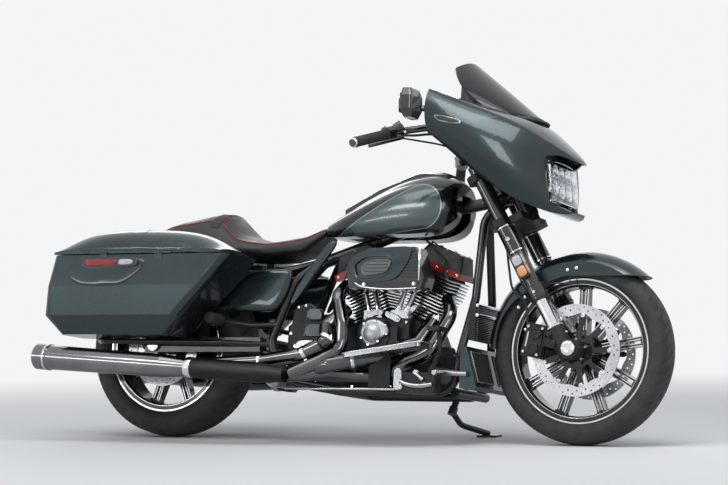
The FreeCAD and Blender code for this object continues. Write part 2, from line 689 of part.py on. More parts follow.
def cylinder(front):
    barrel = Part.makeCylinder(BARREL_R, HEAD_TOP - DECK, Vec(0, 0, DECK))
    parts = [barrel]
    for k in range(FIN_COUNT):
        z = DECK + 14 + k * FIN_PITCH
        half = FIN_HALF if k < FIN_COUNT - 6 else FIN_HALF + 6
        parts.append(box(-half, half, -half, half, z, z + FIN_THICK))
    parts.append(box(-54, 54, -64, 64, HEAD_TOP - 76, HEAD_TOP))
    return on_cylinder(fused(parts), front)


front_cylinder = cylinder(True)
rear_cylinder = cylinder(False)
front_cylinder = front_cylinder.common(box(CRANK_X + 1, CRANK_X + 400, -200, 200, 0, 900))
rear_cylinder = rear_cylinder.common(box(CRANK_X - 400, CRANK_X - 1, -200, 200, 0, 900))
cylinders = [front_cylinder.cut(crankcase), rear_cylinder.cut(crankcase)]

rocker_bases = []
rocker_covers = []
for front in (True, False):
    base = Part.makeBox(2 * ROCKER_LONG, 2 * ROCKER_WIDE, BAND_THICK,
                        Vec(-ROCKER_LONG, -ROCKER_WIDE, HEAD_TOP))
    rocker_bases.append(on_cylinder(base, front))
    z0 = HEAD_TOP + BAND_THICK
    low = rounded_plan(z0, -ROCKER_LONG + 4, ROCKER_LONG - 4, -ROCKER_WIDE + 4, ROCKER_WIDE - 4, 14)
    high = rounded_plan(z0 + ROCKER_HIGH, -ROCKER_LONG + 26, ROCKER_LONG - 26,
                        -ROCKER_WIDE + 16, ROCKER_WIDE - 16, 14)
    rocker_covers.append(on_cylinder(Part.makeLoft([low, high], True, True), front))

# Pushrod tubes on their tappet blocks, on the right of both cylinders
pushrods = []
for front, sign in ((True, 1), (False, -1)):
    foot_x = CRANK_X + sign * 52
    block = box(foot_x - 34, foot_x + 34, -CASE_HALF - 34, -CASE_HALF, 424, 452)
    rods = [block]
    for k in (-1, 1):
        start = Vec(foot_x + 17 * k, -CASE_HALF - 20, 440)
        rods.append(rod(start, start + Vec(sign * 44 + 3 * k, 22, 145), 9))
    pushrods.append(fused(rods))
CASE_BOSS = box(CRANK_X - 92, CRANK_X + 92, -CASE_HALF - 36, -CASE_HALF, 300, 424)
cam_cover = fused([CASE_BOSS, disc(Vec(894, 0, 366), 62, -CASE_HALF - 62, -CASE_HALF),
                             box(894, 985, -CASE_HALF - 58, -CASE_HALF, 330, 392)])
for k in range(2):
    pushrods[k] = pushrods[k].cut(cylinders[k]).cut(cam_cover).Solids[0]

# Primary cover, one long oval on the left
PRIMARY_OUT = 205.0
primary = plate([(662, 250), (712, 200), (960, 190), (1040, 240), (1050, 330), (990, 400),
                 (880, 425), (700, 420), (662, 370)], CASE_HALF, PRIMARY_OUT)
DERBY_PROUD = 8.0
primary_cover = fused([primary, disc(Vec(752, 0, 312), 66, PRIMARY_OUT, PRIMARY_OUT + DERBY_PROUD)])

# Air cleaner on the right, between the cylinders
AIR_IN = 132.0
AIR_OUT = 226.0
air_cleaner = plate([(822, 520), (1096, 516), (1108, 560), (1072, 664), (900, 662), (836, 636),
                     (806, 594)], -AIR_OUT, -AIR_IN)
air_neck = disc(Vec(928, 0, 590), 40, -AIR_IN, -30)
for solid in cylinders + rocker_bases + rocker_covers:
    air_neck = air_neck.cut(solid)
air_neck = sorted(air_neck.Solids, key=lambda s: -s.Volume)[0]
air_parts = [air_cleaner, air_neck]
BREATHER_R = 8.0
# columns: x, z of the bolts that hold the air cleaner to each head
for x, z in ((826, 600), (1066, 604)):
    breather = disc(Vec(x, 0, z), BREATHER_R, -AIR_IN, -ROCKER_WIDE + 6)
    for solid in cylinders + rocker_bases:
        breather = breather.cut(solid)
    air_parts.append(sorted(breather.Solids, key=lambda s: -s.Volume)[0])
air_cleaner = fused(air_parts)

# Exhaust: the rear and the front header meet under the gearbox, and feed a silencer each side


def silencer_z(x):
    return SILENCER_TIP_Z + SILENCER_SLOPE * (x - SILENCER_TIP_X)


JOINT_X = 640.0
rear_header = pipe([Vec(748, -96, 545), Vec(752, -172, 500), Vec(790, -205, 400),
                    Vec(800, -226, 310), Vec(740, -262, 262),
                    Vec(JOINT_X, -SILENCER_Y + 26, silencer_z(JOINT_X))], PIPE_R, 60)
front_header = pipe([Vec(1128, -60, 500), Vec(1166, -110, 440), Vec(1116, -176, 300),
                     Vec(940, -178, 218), Vec(760, -200, 218), Vec(JOINT_X, -230, 226)],
                    PIPE_R, 70)
LEFT_JOINT_X = 330.0
crossover = pipe([Vec(JOINT_X, -230, 226), Vec(500, -190, 212), Vec(446, -60, 208),
                  Vec(438, 130, 212), Vec(400, 290, 226),
                  Vec(LEFT_JOINT_X, SILENCER_Y, silencer_z(LEFT_JOINT_X))], PIPE_R, 70)
merge = pipe([Vec(850, -189, 218), Vec(760, -214, 228),
              Vec(JOINT_X, -SILENCER_Y + 26, silencer_z(JOINT_X))], PIPE_R, 70)

# columns: distance from the tip, radius
SILENCER = [(0, 40), (6, 47), (60, 48), (64, 45), (540, 42), (640, 33), (700, 37), (930, 36),
            (1000, 29), (1035, 29)]
silencer_start = Vec(SILENCER_TIP_X, -SILENCER_Y, SILENCER_TIP_Z)
silencer_way = Vec(1, 0, SILENCER_SLOPE)
silencer = turned(SILENCER, silencer_start, silencer_way)
bore = turned([(-1, 34), (90, 34)], silencer_start, silencer_way)
silencer = silencer.cut(bore)
short_silencer = mirrored(silencer).cut(box(LEFT_JOINT_X, 900, 200, 500, 100, 400))
mufflers = [silencer, short_silencer]
exhaust_pipes = fused([rear_header, front_header, crossover, merge])
for solid in mufflers + cylinders:
    exhaust_pipes = exhaust_pipes.cut(solid)
exhaust_pipes = sorted(exhaust_pipes.Solids, key=lambda s: -s.Volume)[0]

# Saddlebag sections, which the frame's support hoops carry from below
# columns: z, rear x, front x, outer y
BAG = [(348, -292, 168, 352), (415, -342, 232, 396), (520, -330, 334, 406), (632, -306, 434, 400)]

# The side stand's foot on the ground, and its pin's slanted axis
floor_z = STAND_FOOT_Y * LEAN_TAN
foot_point = Vec(STAND_FOOT_X, STAND_FOOT_Y, floor_z + 12)
STAND_AWAY = Vec(-0.975, 0.2, 0.1)
leg_way = (foot_point - STAND_PIVOT).normalize()
STAND_AXIS = leg_way.cross(STAND_AWAY.normalize()).normalize()

# Frame: head tube, spine, two downtubes, lower rails, seat rails and bag supports
head_low = steer_point(YOKE_LOW_Z) + STEER_DIR * (YOKE_THICK / 2 + 3)
head_top = steer_point(YOKE_TOP_Z) - STEER_DIR * (YOKE_THICK / 2 + 3)
head_tube = rod(head_low, head_top, HEAD_R)
spine = pipe([(head_low + head_top) * 0.5, Vec(1150, 0, 828), Vec(820, 0, 712), Vec(600, 0, 640)],
             SPINE_R, 120)


HOOP_R = 10.0
FRAME_FRONT = WHEELBASE - 380
HOOP_Z = BAG[0][0] - SEAT_GAP - HOOP_R


def down_side(y_sign):
    def at(x, y, z):
        return Vec(x, y_sign * y, z)
    down = pipe([at(WHEELBASE - 275, 13, 878), at(WHEELBASE - 379, 21, 786),
                 at(FRAME_FRONT, DOWNTUBE_Y, 500), at(FRAME_FRONT - 24, RAIL_Y, 300),
                 at(FRAME_FRONT - 44, RAIL_Y, RAIL_Z), at(760, RAIL_Y, RAIL_Z),
                 at(560, RAIL_Y, RAIL_Z + 30),
                 at(470, RAIL_Y, 330), at(560, RAIL_Y, 560), at(640, 60, 650)], TUBE_R - 2, 70)
    rail = pipe([at(612, 10, 642), at(480, SEAT_RAIL_Y, SEAT_RAIL_Z),
                 at(-330, SEAT_RAIL_Y, SEAT_RAIL_Z)], TUBE_R - 3, 60)
    hoop = pipe([at(-240, SEAT_RAIL_Y, SEAT_RAIL_Z), at(-240, 154, 500), at(-240, 154, HOOP_Z),
                 at(-190, 205, HOOP_Z), at(300, 200, HOOP_Z - 4), at(475, 140, 330)],
                HOOP_R, 30)
    return [down, rail, hoop]


frame_parts = [head_tube, spine] + down_side(1) + down_side(-1)
frame_parts.append(rod(Vec(FRAME_FRONT - 40, -RAIL_Y, RAIL_Z), Vec(FRAME_FRONT - 40, RAIL_Y, RAIL_Z),
                       TUBE_R))
frame_parts.append(rod(Vec(740, -RAIL_Y, RAIL_Z), Vec(740, RAIL_Y, RAIL_Z), TUBE_R - 4))
frame_parts.append(rod(Vec(SWING_X, -RAIL_Y, SWING_Z), Vec(SWING_X, RAIL_Y, SWING_Z), TUBE_R + 4))
frame_parts.append(rod(Vec(-300, -RAIL_Y, SEAT_RAIL_Z), Vec(-300, RAIL_Y, SEAT_RAIL_Z), TUBE_R - 5))

# Lugs on the tubes that the tank, the seat, the rear guard and the side covers sit on
COVER_IN = RAIL_Y + TUBE_R + 1
TANK_LUG = Vec(1120, 0, 820)
GUARD_LUG_X = 200.0
SEAT_LUG_X = 315.0
SEAT_LUG_HALF = 15.0
SEAT_LUG_TOP = 664.0
COVER_LUG = Vec(538, 0, 545)
frame_parts.append(rod(TANK_LUG - Vec(0, TUNNEL_HALF, 0), TANK_LUG + Vec(0, TUNNEL_HALF, 0), LUG_R))
for x in (-GUARD_LUG_X, GUARD_LUG_X):
    frame_parts += both_sides(rod(Vec(x, REAR_GUARD_HALF, SEAT_RAIL_Z),
                                  Vec(x, SEAT_RAIL_Y, SEAT_RAIL_Z), LUG_R))
frame_parts += both_sides(box(SEAT_LUG_X - SEAT_LUG_HALF, SEAT_LUG_X + SEAT_LUG_HALF, SEAT_RAIL_Y - LUG_R,
                              SEAT_RAIL_Y + LUG_R, SEAT_RAIL_Z, SEAT_LUG_TOP))
frame_parts += both_sides(rod(COVER_LUG + Vec(0, RAIL_Y, 0), COVER_LUG + Vec(0, COVER_IN, 0), LUG_R))

# Passenger pegs on short arms off the rear tubes
PEG_X = 285.0
PEG_Z = 418.0
PEG_IN = 180.0
PEG_OUT = 262.0
peg = fused([pipe([Vec(500, RAIL_Y + 5, 402), Vec(400, RAIL_Y + 30, 398), Vec(PEG_X, PEG_IN, PEG_Z)],
                  9, 40),
             rod(Vec(PEG_X, PEG_IN - 12, PEG_Z), Vec(PEG_X, PEG_OUT, PEG_Z), 16)])
frame_parts += both_sides(peg)
STAND_PIN_HALF = 14.0
frame_parts.append(rod(STAND_PIVOT + STAND_AXIS * (STAND_PIN_HALF + 1),
                       STAND_PIVOT + STAND_AXIS * 38, 12))
frame = fused(frame_parts)
frame = frame.cut(rod(steer_point(700), steer_point(1100), STEM_R + PIN_GAP))
for solid in [crankcase] + cylinders + rocker_covers + rocker_bases:
    frame = frame.cut(solid)

# Swingarm: two arms and a cross tube behind the gearbox
arm = plate([(SWING_X - 30, SWING_Z - ARM_HIGH / 2), (SWING_X - 30, SWING_Z + ARM_HIGH / 2),
             (-40, REAR_R + 26), (-40, REAR_R - 26)], ARM_Y + 3, ARM_Y + 3 + ARM_WIDE)
swingarm_parts = both_sides(arm)
swingarm_parts.append(box(SWING_X - 60, SWING_X - 30, -ARM_Y - 10, ARM_Y + 10, SWING_Z - 22,
                          SWING_Z + 22))
swingarm = fused(swingarm_parts).cut(disc(REAR_AXLE, AXLE_R, -300, 300))
swingarm = swingarm.cut(frame)
REAR_AXLE_END = ARM_Y + 3 + ARM_WIDE + 14
rear_axle = fused([disc(REAR_AXLE, AXLE_R, -REAR_AXLE_END, REAR_AXLE_END)]
                  + both_sides(disc(REAR_AXLE, AXLE_R + 8, ARM_Y + 3 + ARM_WIDE, REAR_AXLE_END)))

# Rear caliper on the right arm
rear_slot = DISC_THICK / 2 + MOVE_GAP + 0.5
rear_caliper = box(96, 182, -REAR_DISC_Y - 28, -REAR_DISC_Y + 20, REAR_R + 34, REAR_R + 112)
caliper_bracket = box(110, 170, -ARM_Y - 3, -REAR_DISC_Y - 20, REAR_R + 8, REAR_R + 52)
rear_disc_room = disc(REAR_AXLE, REAR_DISC_R + MOVE_GAP, -REAR_DISC_Y - rear_slot, -REAR_DISC_Y + rear_slot)
rear_caliper = rear_caliper.fuse(caliper_bracket).cut(rear_disc_room)

# Shocks stand upright between the arms and the seat rails
SHOCK_Y = ARM_Y + 7 + ARM_WIDE / 2
# columns: distance up the shock, radius
SHOCK = [(0, 14), (26, 14), (26, 20), (150, 20), (150, 15), (214, 15)]
shock = turned(SHOCK, Vec(34, SHOCK_Y, REAR_R + 30), Vec(0.28, -0.02, 1))
shocks = both_sides(shock.cut(swingarm).cut(frame))

# Fuel tank: widest at the front, running down to a narrow tail under the seat's nose
# columns: x, half width, half foot, foot z, waist z, half shoulder, shoulder z, top z
TANK = [(1160, 88, 70, 790, 846, 56, 894, 908),
        (1105, 144, 116, 738, 815, 94, 905, 938),
        (985, 158, 132, 722, 805, 96, 902, 940),
        (840, 140, 118, 722, 780, 84, 858, 890),
        (700, 96, 84, 722, 752, 60, 798, 818),
        (640, 60, 54, 728, 748, 38, 772, 782)]


def tank_loft(rows):
    return Part.makeLoft([arch(*row) for row in rows], True, False)


fuel_tank = tank_loft(TANK)
tunnel = plate([(560, 600), (1300, 600), (1300, 880), (1150, 868), (820, 752), (560, 672)],
               -TUNNEL_HALF, TUNNEL_HALF)
fuel_tank = fuel_tank.cut(tunnel)

# Console: a low dark strip on the tank's top with the filler door
CONSOLE_HALF = 38.0
console_top = [(x, top + 9) for x, _, _, _, _, _, _, top in TANK[1:-1]]
console_low = [(x, top - 30) for x, _, _, _, _, _, _, top in TANK[1:-1]]
console = plate(console_top + console_low[::-1], -CONSOLE_HALF, CONSOLE_HALF).cut(fuel_tank)
console = sorted(console.Solids, key=lambda s: -s.Volume)[0]
DOOR_X0 = 1000.0
DOOR_X1 = 1085.0
door_cut = box(DOOR_X0 - 1, DOOR_X1 + 1, -CONSOLE_HALF + 6, CONSOLE_HALF - 6, 946.5, 1000)
DOOR_LOW = 947.0
DOOR_THICK = 6.0
DOOR_HINGE = Vec(DOOR_X0, 0, DOOR_LOW + DOOR_THICK / 2)
DOOR_OPEN = 100.0
door_pin = disc(DOOR_HINGE, DOOR_THICK / 2, -12, 12)
tank_console = console.cut(door_cut).cut(disc(DOOR_HINGE, DOOR_THICK / 2 + PIN_GAP, -14, 14))
fuel_door = fused([box(DOOR_X0, DOOR_X1, -CONSOLE_HALF + 7, CONSOLE_HALF - 7, DOOR_LOW,
                       DOOR_LOW + DOOR_THICK), door_pin])

# Seat: one long pad, low for the rider, with a raised back step and a pillion pad
# columns: x, half width, half foot, foot z, waist z, half shoulder, shoulder z, top z
SEAT = [(652, 56, 50, 742, 756, 34, 772, 782),
        (560, 100, 92, 668, 690, 74, 728, 742),
        (430, 158, 146, 652, 672, 126, 702, 716),
        (320, 172, 160, 652, 680, 132, 718, 742),
        (240, 160, 150, 656, 712, 112, 782, 826),
        (180, 150, 144, 690, 736, 112, 796, 828),
        (30, 138, 132, 712, 740, 104, 778, 800),
        (-60, 110, 104, 710, 728, 84, 746, 762)]
seat = Part.makeLoft([arch(*row) for row in SEAT], True, True)
seat = seat.cut(fuel_tank).cut(frame)
seat = sorted(seat.Solids, key=lambda s: -s.Volume)[0]

# Side covers below the seat, and slim trims down the frame ahead of them
COVER_OUT = BAG_IN - 3
side_cover = plate([(566, 602), (374, 592), (250, 468), (288, 452), (492, 446), (546, 520)],
                   COVER_IN, COVER_OUT).cut(frame)
side_covers = both_sides(sorted(side_cover.Solids, key=lambda s: -s.Volume)[0])
frame_trim = plate([(690, 690), (726, 704), (560, 470), (540, 476), (590, 560)],
                   RAIL_Y + 6, RAIL_Y + 16).cut(frame)
frame_trims = both_sides(sorted(frame_trim.Solids, key=lambda s: -s.Volume)[0])

# Saddlebags: a hollow tub each side, slanted at the front, tipped at the rear
BAG_CORNER = 34.0


def bag_loft(inset, rows):
    wires = [rounded_plan(z, x0 + inset, x1 - inset, BAG_IN + inset, y1 - inset,
                          BAG_CORNER - inset) for z, x0, x1, y1 in rows]
    return Part.makeLoft(wires, True, True)


bag_hollow_rows = [(BAG[0][0] + BAG_WALL,) + BAG[0][1:]] + BAG[1:-1] + [
    (BAG[-1][0] + 1,) + BAG[-1][1:]]
saddlebag = bag_loft(0, BAG).cut(bag_loft(BAG_WALL, bag_hollow_rows))

# Lids: shells hinged along the outer top edge
# columns: x, inner y, outer y, side height, crown height
LID = [(-304, 190, 392, 8, 14), (-245, 176, 398, 16, 56), (-30, 172, 402, 18, 96),
       (262, 172, 402, 16, 76), (392, 184, 396, 8, 18)]


def lid_wire(x, y0, y1, side, crown, base):
    edges = [Part.LineSegment(Vec(x, y0, base), Vec(x, y1, base)).toShape(),
             Part.LineSegment(Vec(x, y1, base), Vec(x, y1, base + side)).toShape(),
             Part.Arc(Vec(x, y1, base + side), Vec(x, (y0 + y1) / 2 - 20, base + crown),
                      Vec(x, y0, base + side)).toShape(),
             Part.LineSegment(Vec(x, y0, base + side), Vec(x, y0, base)).toShape()]
    return Part.Wire(edges)


lid_solid = Part.makeLoft([lid_wire(*row, LID_Z) for row in LID], True, False)
lid_inner_rows = [(x, y0 + 6, y1 - 6, side - 4, crown - 5) for x, y0, y1, side, crown in LID[1:-1]]
lid_inner = Part.makeLoft([lid_wire(*row, LID_Z - 1) for row in lid_inner_rows], True, False)
lid = lid_solid.cut(lid_inner)
HINGE_Y = 404.0
HINGE_R = 4.0
LID_HINGE = Vec(0, HINGE_Y, LID_Z + 1)
# columns: rear x of the lid's barrel, its length, rear x of the bag's barrel beside it, its length
BARRELS = [(-140, 40, -99, 30), (160, 40, 129, 30)]
bag_barrels = []
for lid_x, lid_long, bag_x, bag_long in BARRELS:
    start = LID_HINGE + Vec(bag_x, 0, 0)
    lid = lid.cut(rod(start - Vec(1, 0, 0), start + Vec(bag_long + 1, 0, 0), HINGE_R + PIN_GAP))
    bag_barrels.append(rod(start, start + Vec(bag_long, 0, 0), HINGE_R))
    bag_barrels.append(box(bag_x, bag_x + bag_long, HINGE_Y - 6, HINGE_Y - 1, LID_Z - 22, LID_Z))
    start = LID_HINGE + Vec(lid_x, 0, 0)
    lid = lid.fuse(rod(start, start + Vec(lid_long, 0, 0), HINGE_R))
saddlebag_left = fused([saddlebag] + bag_barrels)
saddlebag_right = mirrored(saddlebag_left)

# Tail lamps let into the outer face of each bag
BAG_LAMP_REAR = -162.0
BAG_LAMP_LONG = 212.0
bag_lamp = box(BAG_LAMP_REAR, BAG_LAMP_REAR + BAG_LAMP_LONG, 396, 412, 590, 616).cut(saddlebag_left)
bag_lamp = sorted(bag_lamp.Solids, key=lambda s: -s.Volume)[0]

# Rear fender between the bags and the fascia that closes it
ring = disc(REAR_AXLE, REAR_GUARD_R + 4, -REAR_GUARD_HALF, REAR_GUARD_HALF)
ring = ring.cut(disc(REAR_AXLE, REAR_GUARD_R, -REAR_GUARD_HALF + 4, REAR_GUARD_HALF - 4))
cheek = disc(REAR_AXLE, REAR_GUARD_R - 70, -REAR_GUARD_HALF, REAR_GUARD_HALF)
rear_fender = ring.cut(cheek).common(box(-500, 330, -200, 200, 430, 900)).cut(frame).cut(seat)
rear_fender = sorted(rear_fender.Solids, key=lambda s: -s.Volume)[0]
FASCIA_REAR = -478.0
rear_fascia = Part.makeLoft([
    rounded_plan(400, -400, -352, -120, 120, 16),
    rounded_plan(470, -440, -380, -150, 150, 18),
    rounded_plan(600, -420, -384, -150, 150, 16),
    rounded_plan(640, -396, -370, -140, 140, 12)], True, True)
plate_bracket = box(FASCIA_REAR, FASCIA_REAR + 8, -92, 92, 440, 556)
bracket_arm = box(FASCIA_REAR + 8, -428, -30, 30, 480, 520)
PLATE_HOLE_R = 3.2
PLATE_HOLE_SPACING = 146.0
PLATE_HOLES_MID = Vec(FASCIA_REAR, 0, 538)
for y in (-PLATE_HOLE_SPACING / 2, PLATE_HOLE_SPACING / 2):
    hole = PLATE_HOLES_MID + Vec(-1, y, 0)
    plate_bracket = plate_bracket.cut(rod(hole, hole + Vec(10, 0, 0), PLATE_HOLE_R))
fascia_foot = box(-390, -344, -60, 60, 462, 482)
rear_fascia = fused([rear_fascia, plate_bracket, bracket_arm, fascia_foot]).cut(rear_fender)
rear_fascia = sorted(rear_fascia.Solids, key=lambda s: -s.Volume)[0]

# Chin spoiler with the oil cooler inside it, ahead of the downtubes
CHIN_HALF = 190.0
# columns: x from the frame's front, z
CHIN_OUTER = [(0, 322), (23, 322), (63, 184), (56, 172), (0, 178)]
CHIN_INNER = [(-1, 314), (16, 314), (54, 188), (48, 180), (-1, 186)]
chin = plate([(FRAME_FRONT + x, z) for x, z in CHIN_OUTER], -CHIN_HALF, CHIN_HALF)
chin = chin.cut(plate([(FRAME_FRONT + x, z) for x, z in CHIN_INNER], -CHIN_HALF + 6, CHIN_HALF - 6))
chin_tab = box(FRAME_FRONT - 26, FRAME_FRONT + 6, RAIL_Y - TUBE_R, CHIN_HALF - 3, 286, 296)
chin_spoiler = fused([chin] + both_sides(chin_tab)).cut(frame)
chin_spoiler = sorted(chin_spoiler.Solids, key=lambda s: -s.Volume)[0]
oil_cooler = box(FRAME_FRONT - 2, FRAME_FRONT + 22, -120, 120, 350, 470).cut(frame)
oil_cooler = sorted(oil_cooler.Solids, key=lambda s: -s.Volume)[0]

# Footboards and their brackets, brake pedal with its cylinder, and the shift lever
BOARD_FRONT = BOARD_REAR + BOARD_LONG
board = box(BOARD_REAR, BOARD_FRONT, BOARD_IN, BOARD_OUT, BOARD_Z, BOARD_Z + BOARD_THICK)
board = board.makeFillet(16, [e for e in board.Edges if abs(e.tangentAt(e.FirstParameter).z) > 0.9])
hinge_y = BOARD_IN - 14
BOARD_HINGE = Vec(BOARD_REAR, hinge_y, BOARD_Z + 8)
LUG_THICK = 14.0
# x from the board's rear end of the two lugs that hold the board's knuckle
REAR_LUG = 44.0
FRONT_LUG = 112.0
knuckle_start = BOARD_HINGE + Vec(REAR_LUG + LUG_THICK + PIN_GAP / 2, 0, 0)
knuckle_end = BOARD_HINGE + Vec(FRONT_LUG - PIN_GAP / 2, 0, 0)
board_knuckle = rod(knuckle_start, knuckle_end, 8)
board = fused([board, box(BOARD_REAR + 62, BOARD_REAR + 108, hinge_y, BOARD_IN + 4, BOARD_Z + 2,
                          BOARD_Z + 14), board_knuckle])


def tilted(shape):
    placed = shape.copy()
    placed.rotate(BOARD_HINGE, ALONG_Y, -BOARD_TILT)
    return placed


board = tilted(board)
BOARD_AXIS = Vec(math.cos(math.radians(BOARD_TILT)), 0, math.sin(math.radians(BOARD_TILT)))
bracket = []
BRACKET_Z = 168.0
PRIMARY_CLEAR = 3.0
bracket_in = PRIMARY_OUT + PRIMARY_CLEAR
bracket_out = hinge_y - 9
for x in (REAR_LUG, FRONT_LUG):
    bracket.append(tilted(box(BOARD_REAR + x, BOARD_REAR + x + LUG_THICK, bracket_in, hinge_y + 4,
                              BOARD_Z - 6, BOARD_Z + 17)))
bracket_rear = BOARD_REAR + REAR_LUG
bracket_front = BOARD_REAR + FRONT_LUG + LUG_THICK
bracket.append(box(bracket_rear, bracket_front, bracket_in, bracket_out, BRACKET_Z, BOARD_Z + 12))
bracket.append(box(bracket_rear, bracket_front, RAIL_Y, bracket_out, BRACKET_Z, BRACKET_Z + 12))
board_mounts = both_sides(fused(bracket).cut(frame))

brake_base = fused([box(1036, 1180, -262, -208, 155, 226),
                    box(1060, 1150, -208, -RAIL_Y, 155, 168)]).cut(frame)
brake_arm = pipe([Vec(1160, -262, 220), Vec(1196, -262, 300), Vec(1190, -262, 372)], 8, 30)
brake_pad = box(1168, 1214, -318, -240, 366, 380)
brake_pedal = fused([brake_base, brake_arm, brake_pad])
shift_arm = pipe([Vec(1120, RAIL_Y + 12, 212), Vec(1150, 262, 240), Vec(1196, 262, 300),
                  Vec(1190, 262, 372)], 8, 20)
shift_post = rod(Vec(1120, RAIL_Y, RAIL_Z), Vec(1120, RAIL_Y + 12, 216), 9)
shift_lever = fused([shift_arm, shift_post, rod(Vec(1190, 236, 372), Vec(1190, 322, 372), 11)])
shift_lever = shift_lever.cut(frame)
shift_lever = sorted(shift_lever.Solids, key=lambda s: -s.Volume)[0]

# Side stand: a leg that swings back and up about a steep pin
stand_leg = pipe([STAND_PIVOT + Vec(0, 14, -12), STAND_PIVOT + Vec(8, 60, -46), foot_point],
                 STAND_R, 60)
FOOT_THICK = 8.0
foot_plate = Part.makeBox(76, 52, FOOT_THICK, Vec(STAND_FOOT_X - 38, STAND_FOOT_Y - 18, 0))
foot_plate.rotate(Vec(0, 0, 0), Vec(1, 0, 0), LEAN)
stand_pin = rod(STAND_PIVOT - STAND_AXIS * STAND_PIN_HALF,
                STAND_PIVOT + STAND_AXIS * STAND_PIN_HALF, 16)
side_stand = fused([stand_leg, foot_plate, stand_pin])
FOOT_MOUNT = Vec(STAND_FOOT_X, STAND_FOOT_Y, floor_z)

# Which node is on which body
BODIES = {
    "root": {
        "frame": frame, "swingarm": swingarm, "crankcase": crankcase,
        "cylinders": cylinders, "rocker_bases": rocker_bases, "rocker_covers": rocker_covers,
        "pushrod_tubes": pushrods, "engine_covers": [cam_cover, primary_cover],
        "air_cleaner": air_cleaner, "exhaust_pipes": exhaust_pipes, "mufflers": mufflers,
        "fuel_tank": fuel_tank, "tank_console": tank_console,
        "seat": seat, "side_covers": side_covers, "frame_trims": frame_trims,
        "rear_fender": rear_fender, "rear_fascia": rear_fascia,
        "saddlebag_right": saddlebag_right, "saddlebag_left": saddlebag_left,
        "bag_lamps": both_sides(bag_lamp), "rear_shocks": shocks, "rear_axle": rear_axle,
        "rear_caliper": rear_caliper, "drive_belt": drive_belt,
        "chin_spoiler": chin_spoiler, "oil_cooler": oil_cooler,
        "foot_controls": [brake_pedal, shift_lever], "board_mounts": board_mounts},
    "steering": {
        "fork_outer_tubes": fork_outer_tubes, "fork_sliders": fork_sliders,
        "fork_feet": fork_feet, "fork_yokes": fork_yokes, "fork_covers": fork_covers,
        "front_fender": front_fender,
        "front_calipers": front_calipers, "front_axle": front_axle,
        "fairing_outer": fairing_outer, "fairing_inner": fairing_inner,
        "windshield": windshield, "headlamp": headlamp, "handlebar": handlebar,
        "grips": grips, "hand_controls": hand_controls, "mirrors": mirrors,
        "fork_lamps": fork_lamps},
    "front_wheel": {"front_tyre": front_tyre, "front_rim": front_rim, "front_discs": front_discs},
    "rear_wheel": {"rear_tyre": rear_tyre, "rear_rim": rear_rim, "rear_disc": rear_disc,
                   "rear_pulley": rear_pulley},
    "side_stand": {"side_stand": side_stand},
    "lid_right": {"bag_lid_right": mirrored(lid)},
    "lid_left": {"bag_lid_left": lid},
    "fuel_door": {"fuel_door": fuel_door},
    "board_right": {"board_right": mirrored(board)},
    "board_left": {"board_left": board},
}


def gather(shape):
    return Part.makeCompound(shape) if isinstance(shape, list) else shape


# Lean the bike to its left onto the stand, then put the origin under its box's centre
upright = {name: gather(shape) for nodes in BODIES.values() for name, shape in nodes.items()}
leaned = {}
for name, shape in upright.items():
    placed = shape.copy()
    placed.rotate(Vec(0, 0, 0), Vec(1, 0, 0), -LEAN)
    leaned[name] = placed
whole_box = Part.makeCompound(list(leaned.values())).BoundBox
SHIFT = Vec(-(whole_box.XMin + whole_box.XMax) / 2, -(whole_box.YMin + whole_box.YMax) / 2,
            -whole_box.ZMin)


def place(point):
    """Where a point of the upright bike is in the finished model."""
    turn = FreeCAD.Rotation(Vec(1, 0, 0), -LEAN)
    return turn.multVec(point) + SHIFT


def point_way(direction):
    """Which way a direction of the upright bike points in the finished model."""
    return FreeCAD.Rotation(Vec(1, 0, 0), -LEAN).multVec(direction)


for name, shape in leaned.items():
    shape.translate(SHIFT)
    shape.exportStep("parts/%s.step" % name)
    solids = shape.Solids
    print("%-18s %2d solids %9.0f cm3 valid %s" % (
        name, len(solids), sum(s.Volume for s in solids) / 1000, shape.isValid()))
print("box", whole_box.XLength, whole_box.YLength, whole_box.ZLength, "shift", SHIFT)
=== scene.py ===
import bpy, math
from mathutils import Matrix, Vector


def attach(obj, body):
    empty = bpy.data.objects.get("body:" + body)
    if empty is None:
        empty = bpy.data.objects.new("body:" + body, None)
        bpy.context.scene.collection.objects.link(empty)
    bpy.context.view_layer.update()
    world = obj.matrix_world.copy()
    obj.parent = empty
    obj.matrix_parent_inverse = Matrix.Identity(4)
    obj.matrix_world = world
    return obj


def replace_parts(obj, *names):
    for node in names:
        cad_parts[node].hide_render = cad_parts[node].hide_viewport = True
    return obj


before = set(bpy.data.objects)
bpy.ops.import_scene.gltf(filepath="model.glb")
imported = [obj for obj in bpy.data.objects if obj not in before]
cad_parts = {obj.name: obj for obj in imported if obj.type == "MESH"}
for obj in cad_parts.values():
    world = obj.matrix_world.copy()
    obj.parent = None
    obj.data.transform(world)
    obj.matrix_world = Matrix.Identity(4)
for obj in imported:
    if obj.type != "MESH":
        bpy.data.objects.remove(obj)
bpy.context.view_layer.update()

# Camera, soft lights and a pale floor. The camera stands ahead of the right side at wheel height,
# where the photographer stood, and the floor fades into the pale wall behind.
PALE = (0.90, 0.91, 0.92)
camera = bpy.data.objects.new("camera", bpy.data.cameras.new("camera"))
camera.location = (3.7982, -7.7080, 0.5955)
camera.rotation_euler = [math.radians(a) for a in (90.7534, 0.7512, 26.2066)]
camera.data.sensor_width = 36
camera.data.lens = 117.05
bpy.context.collection.objects.link(camera)
scene = bpy.context.scene
scene.camera = camera
scene.view_settings.view_transform = "Standard"

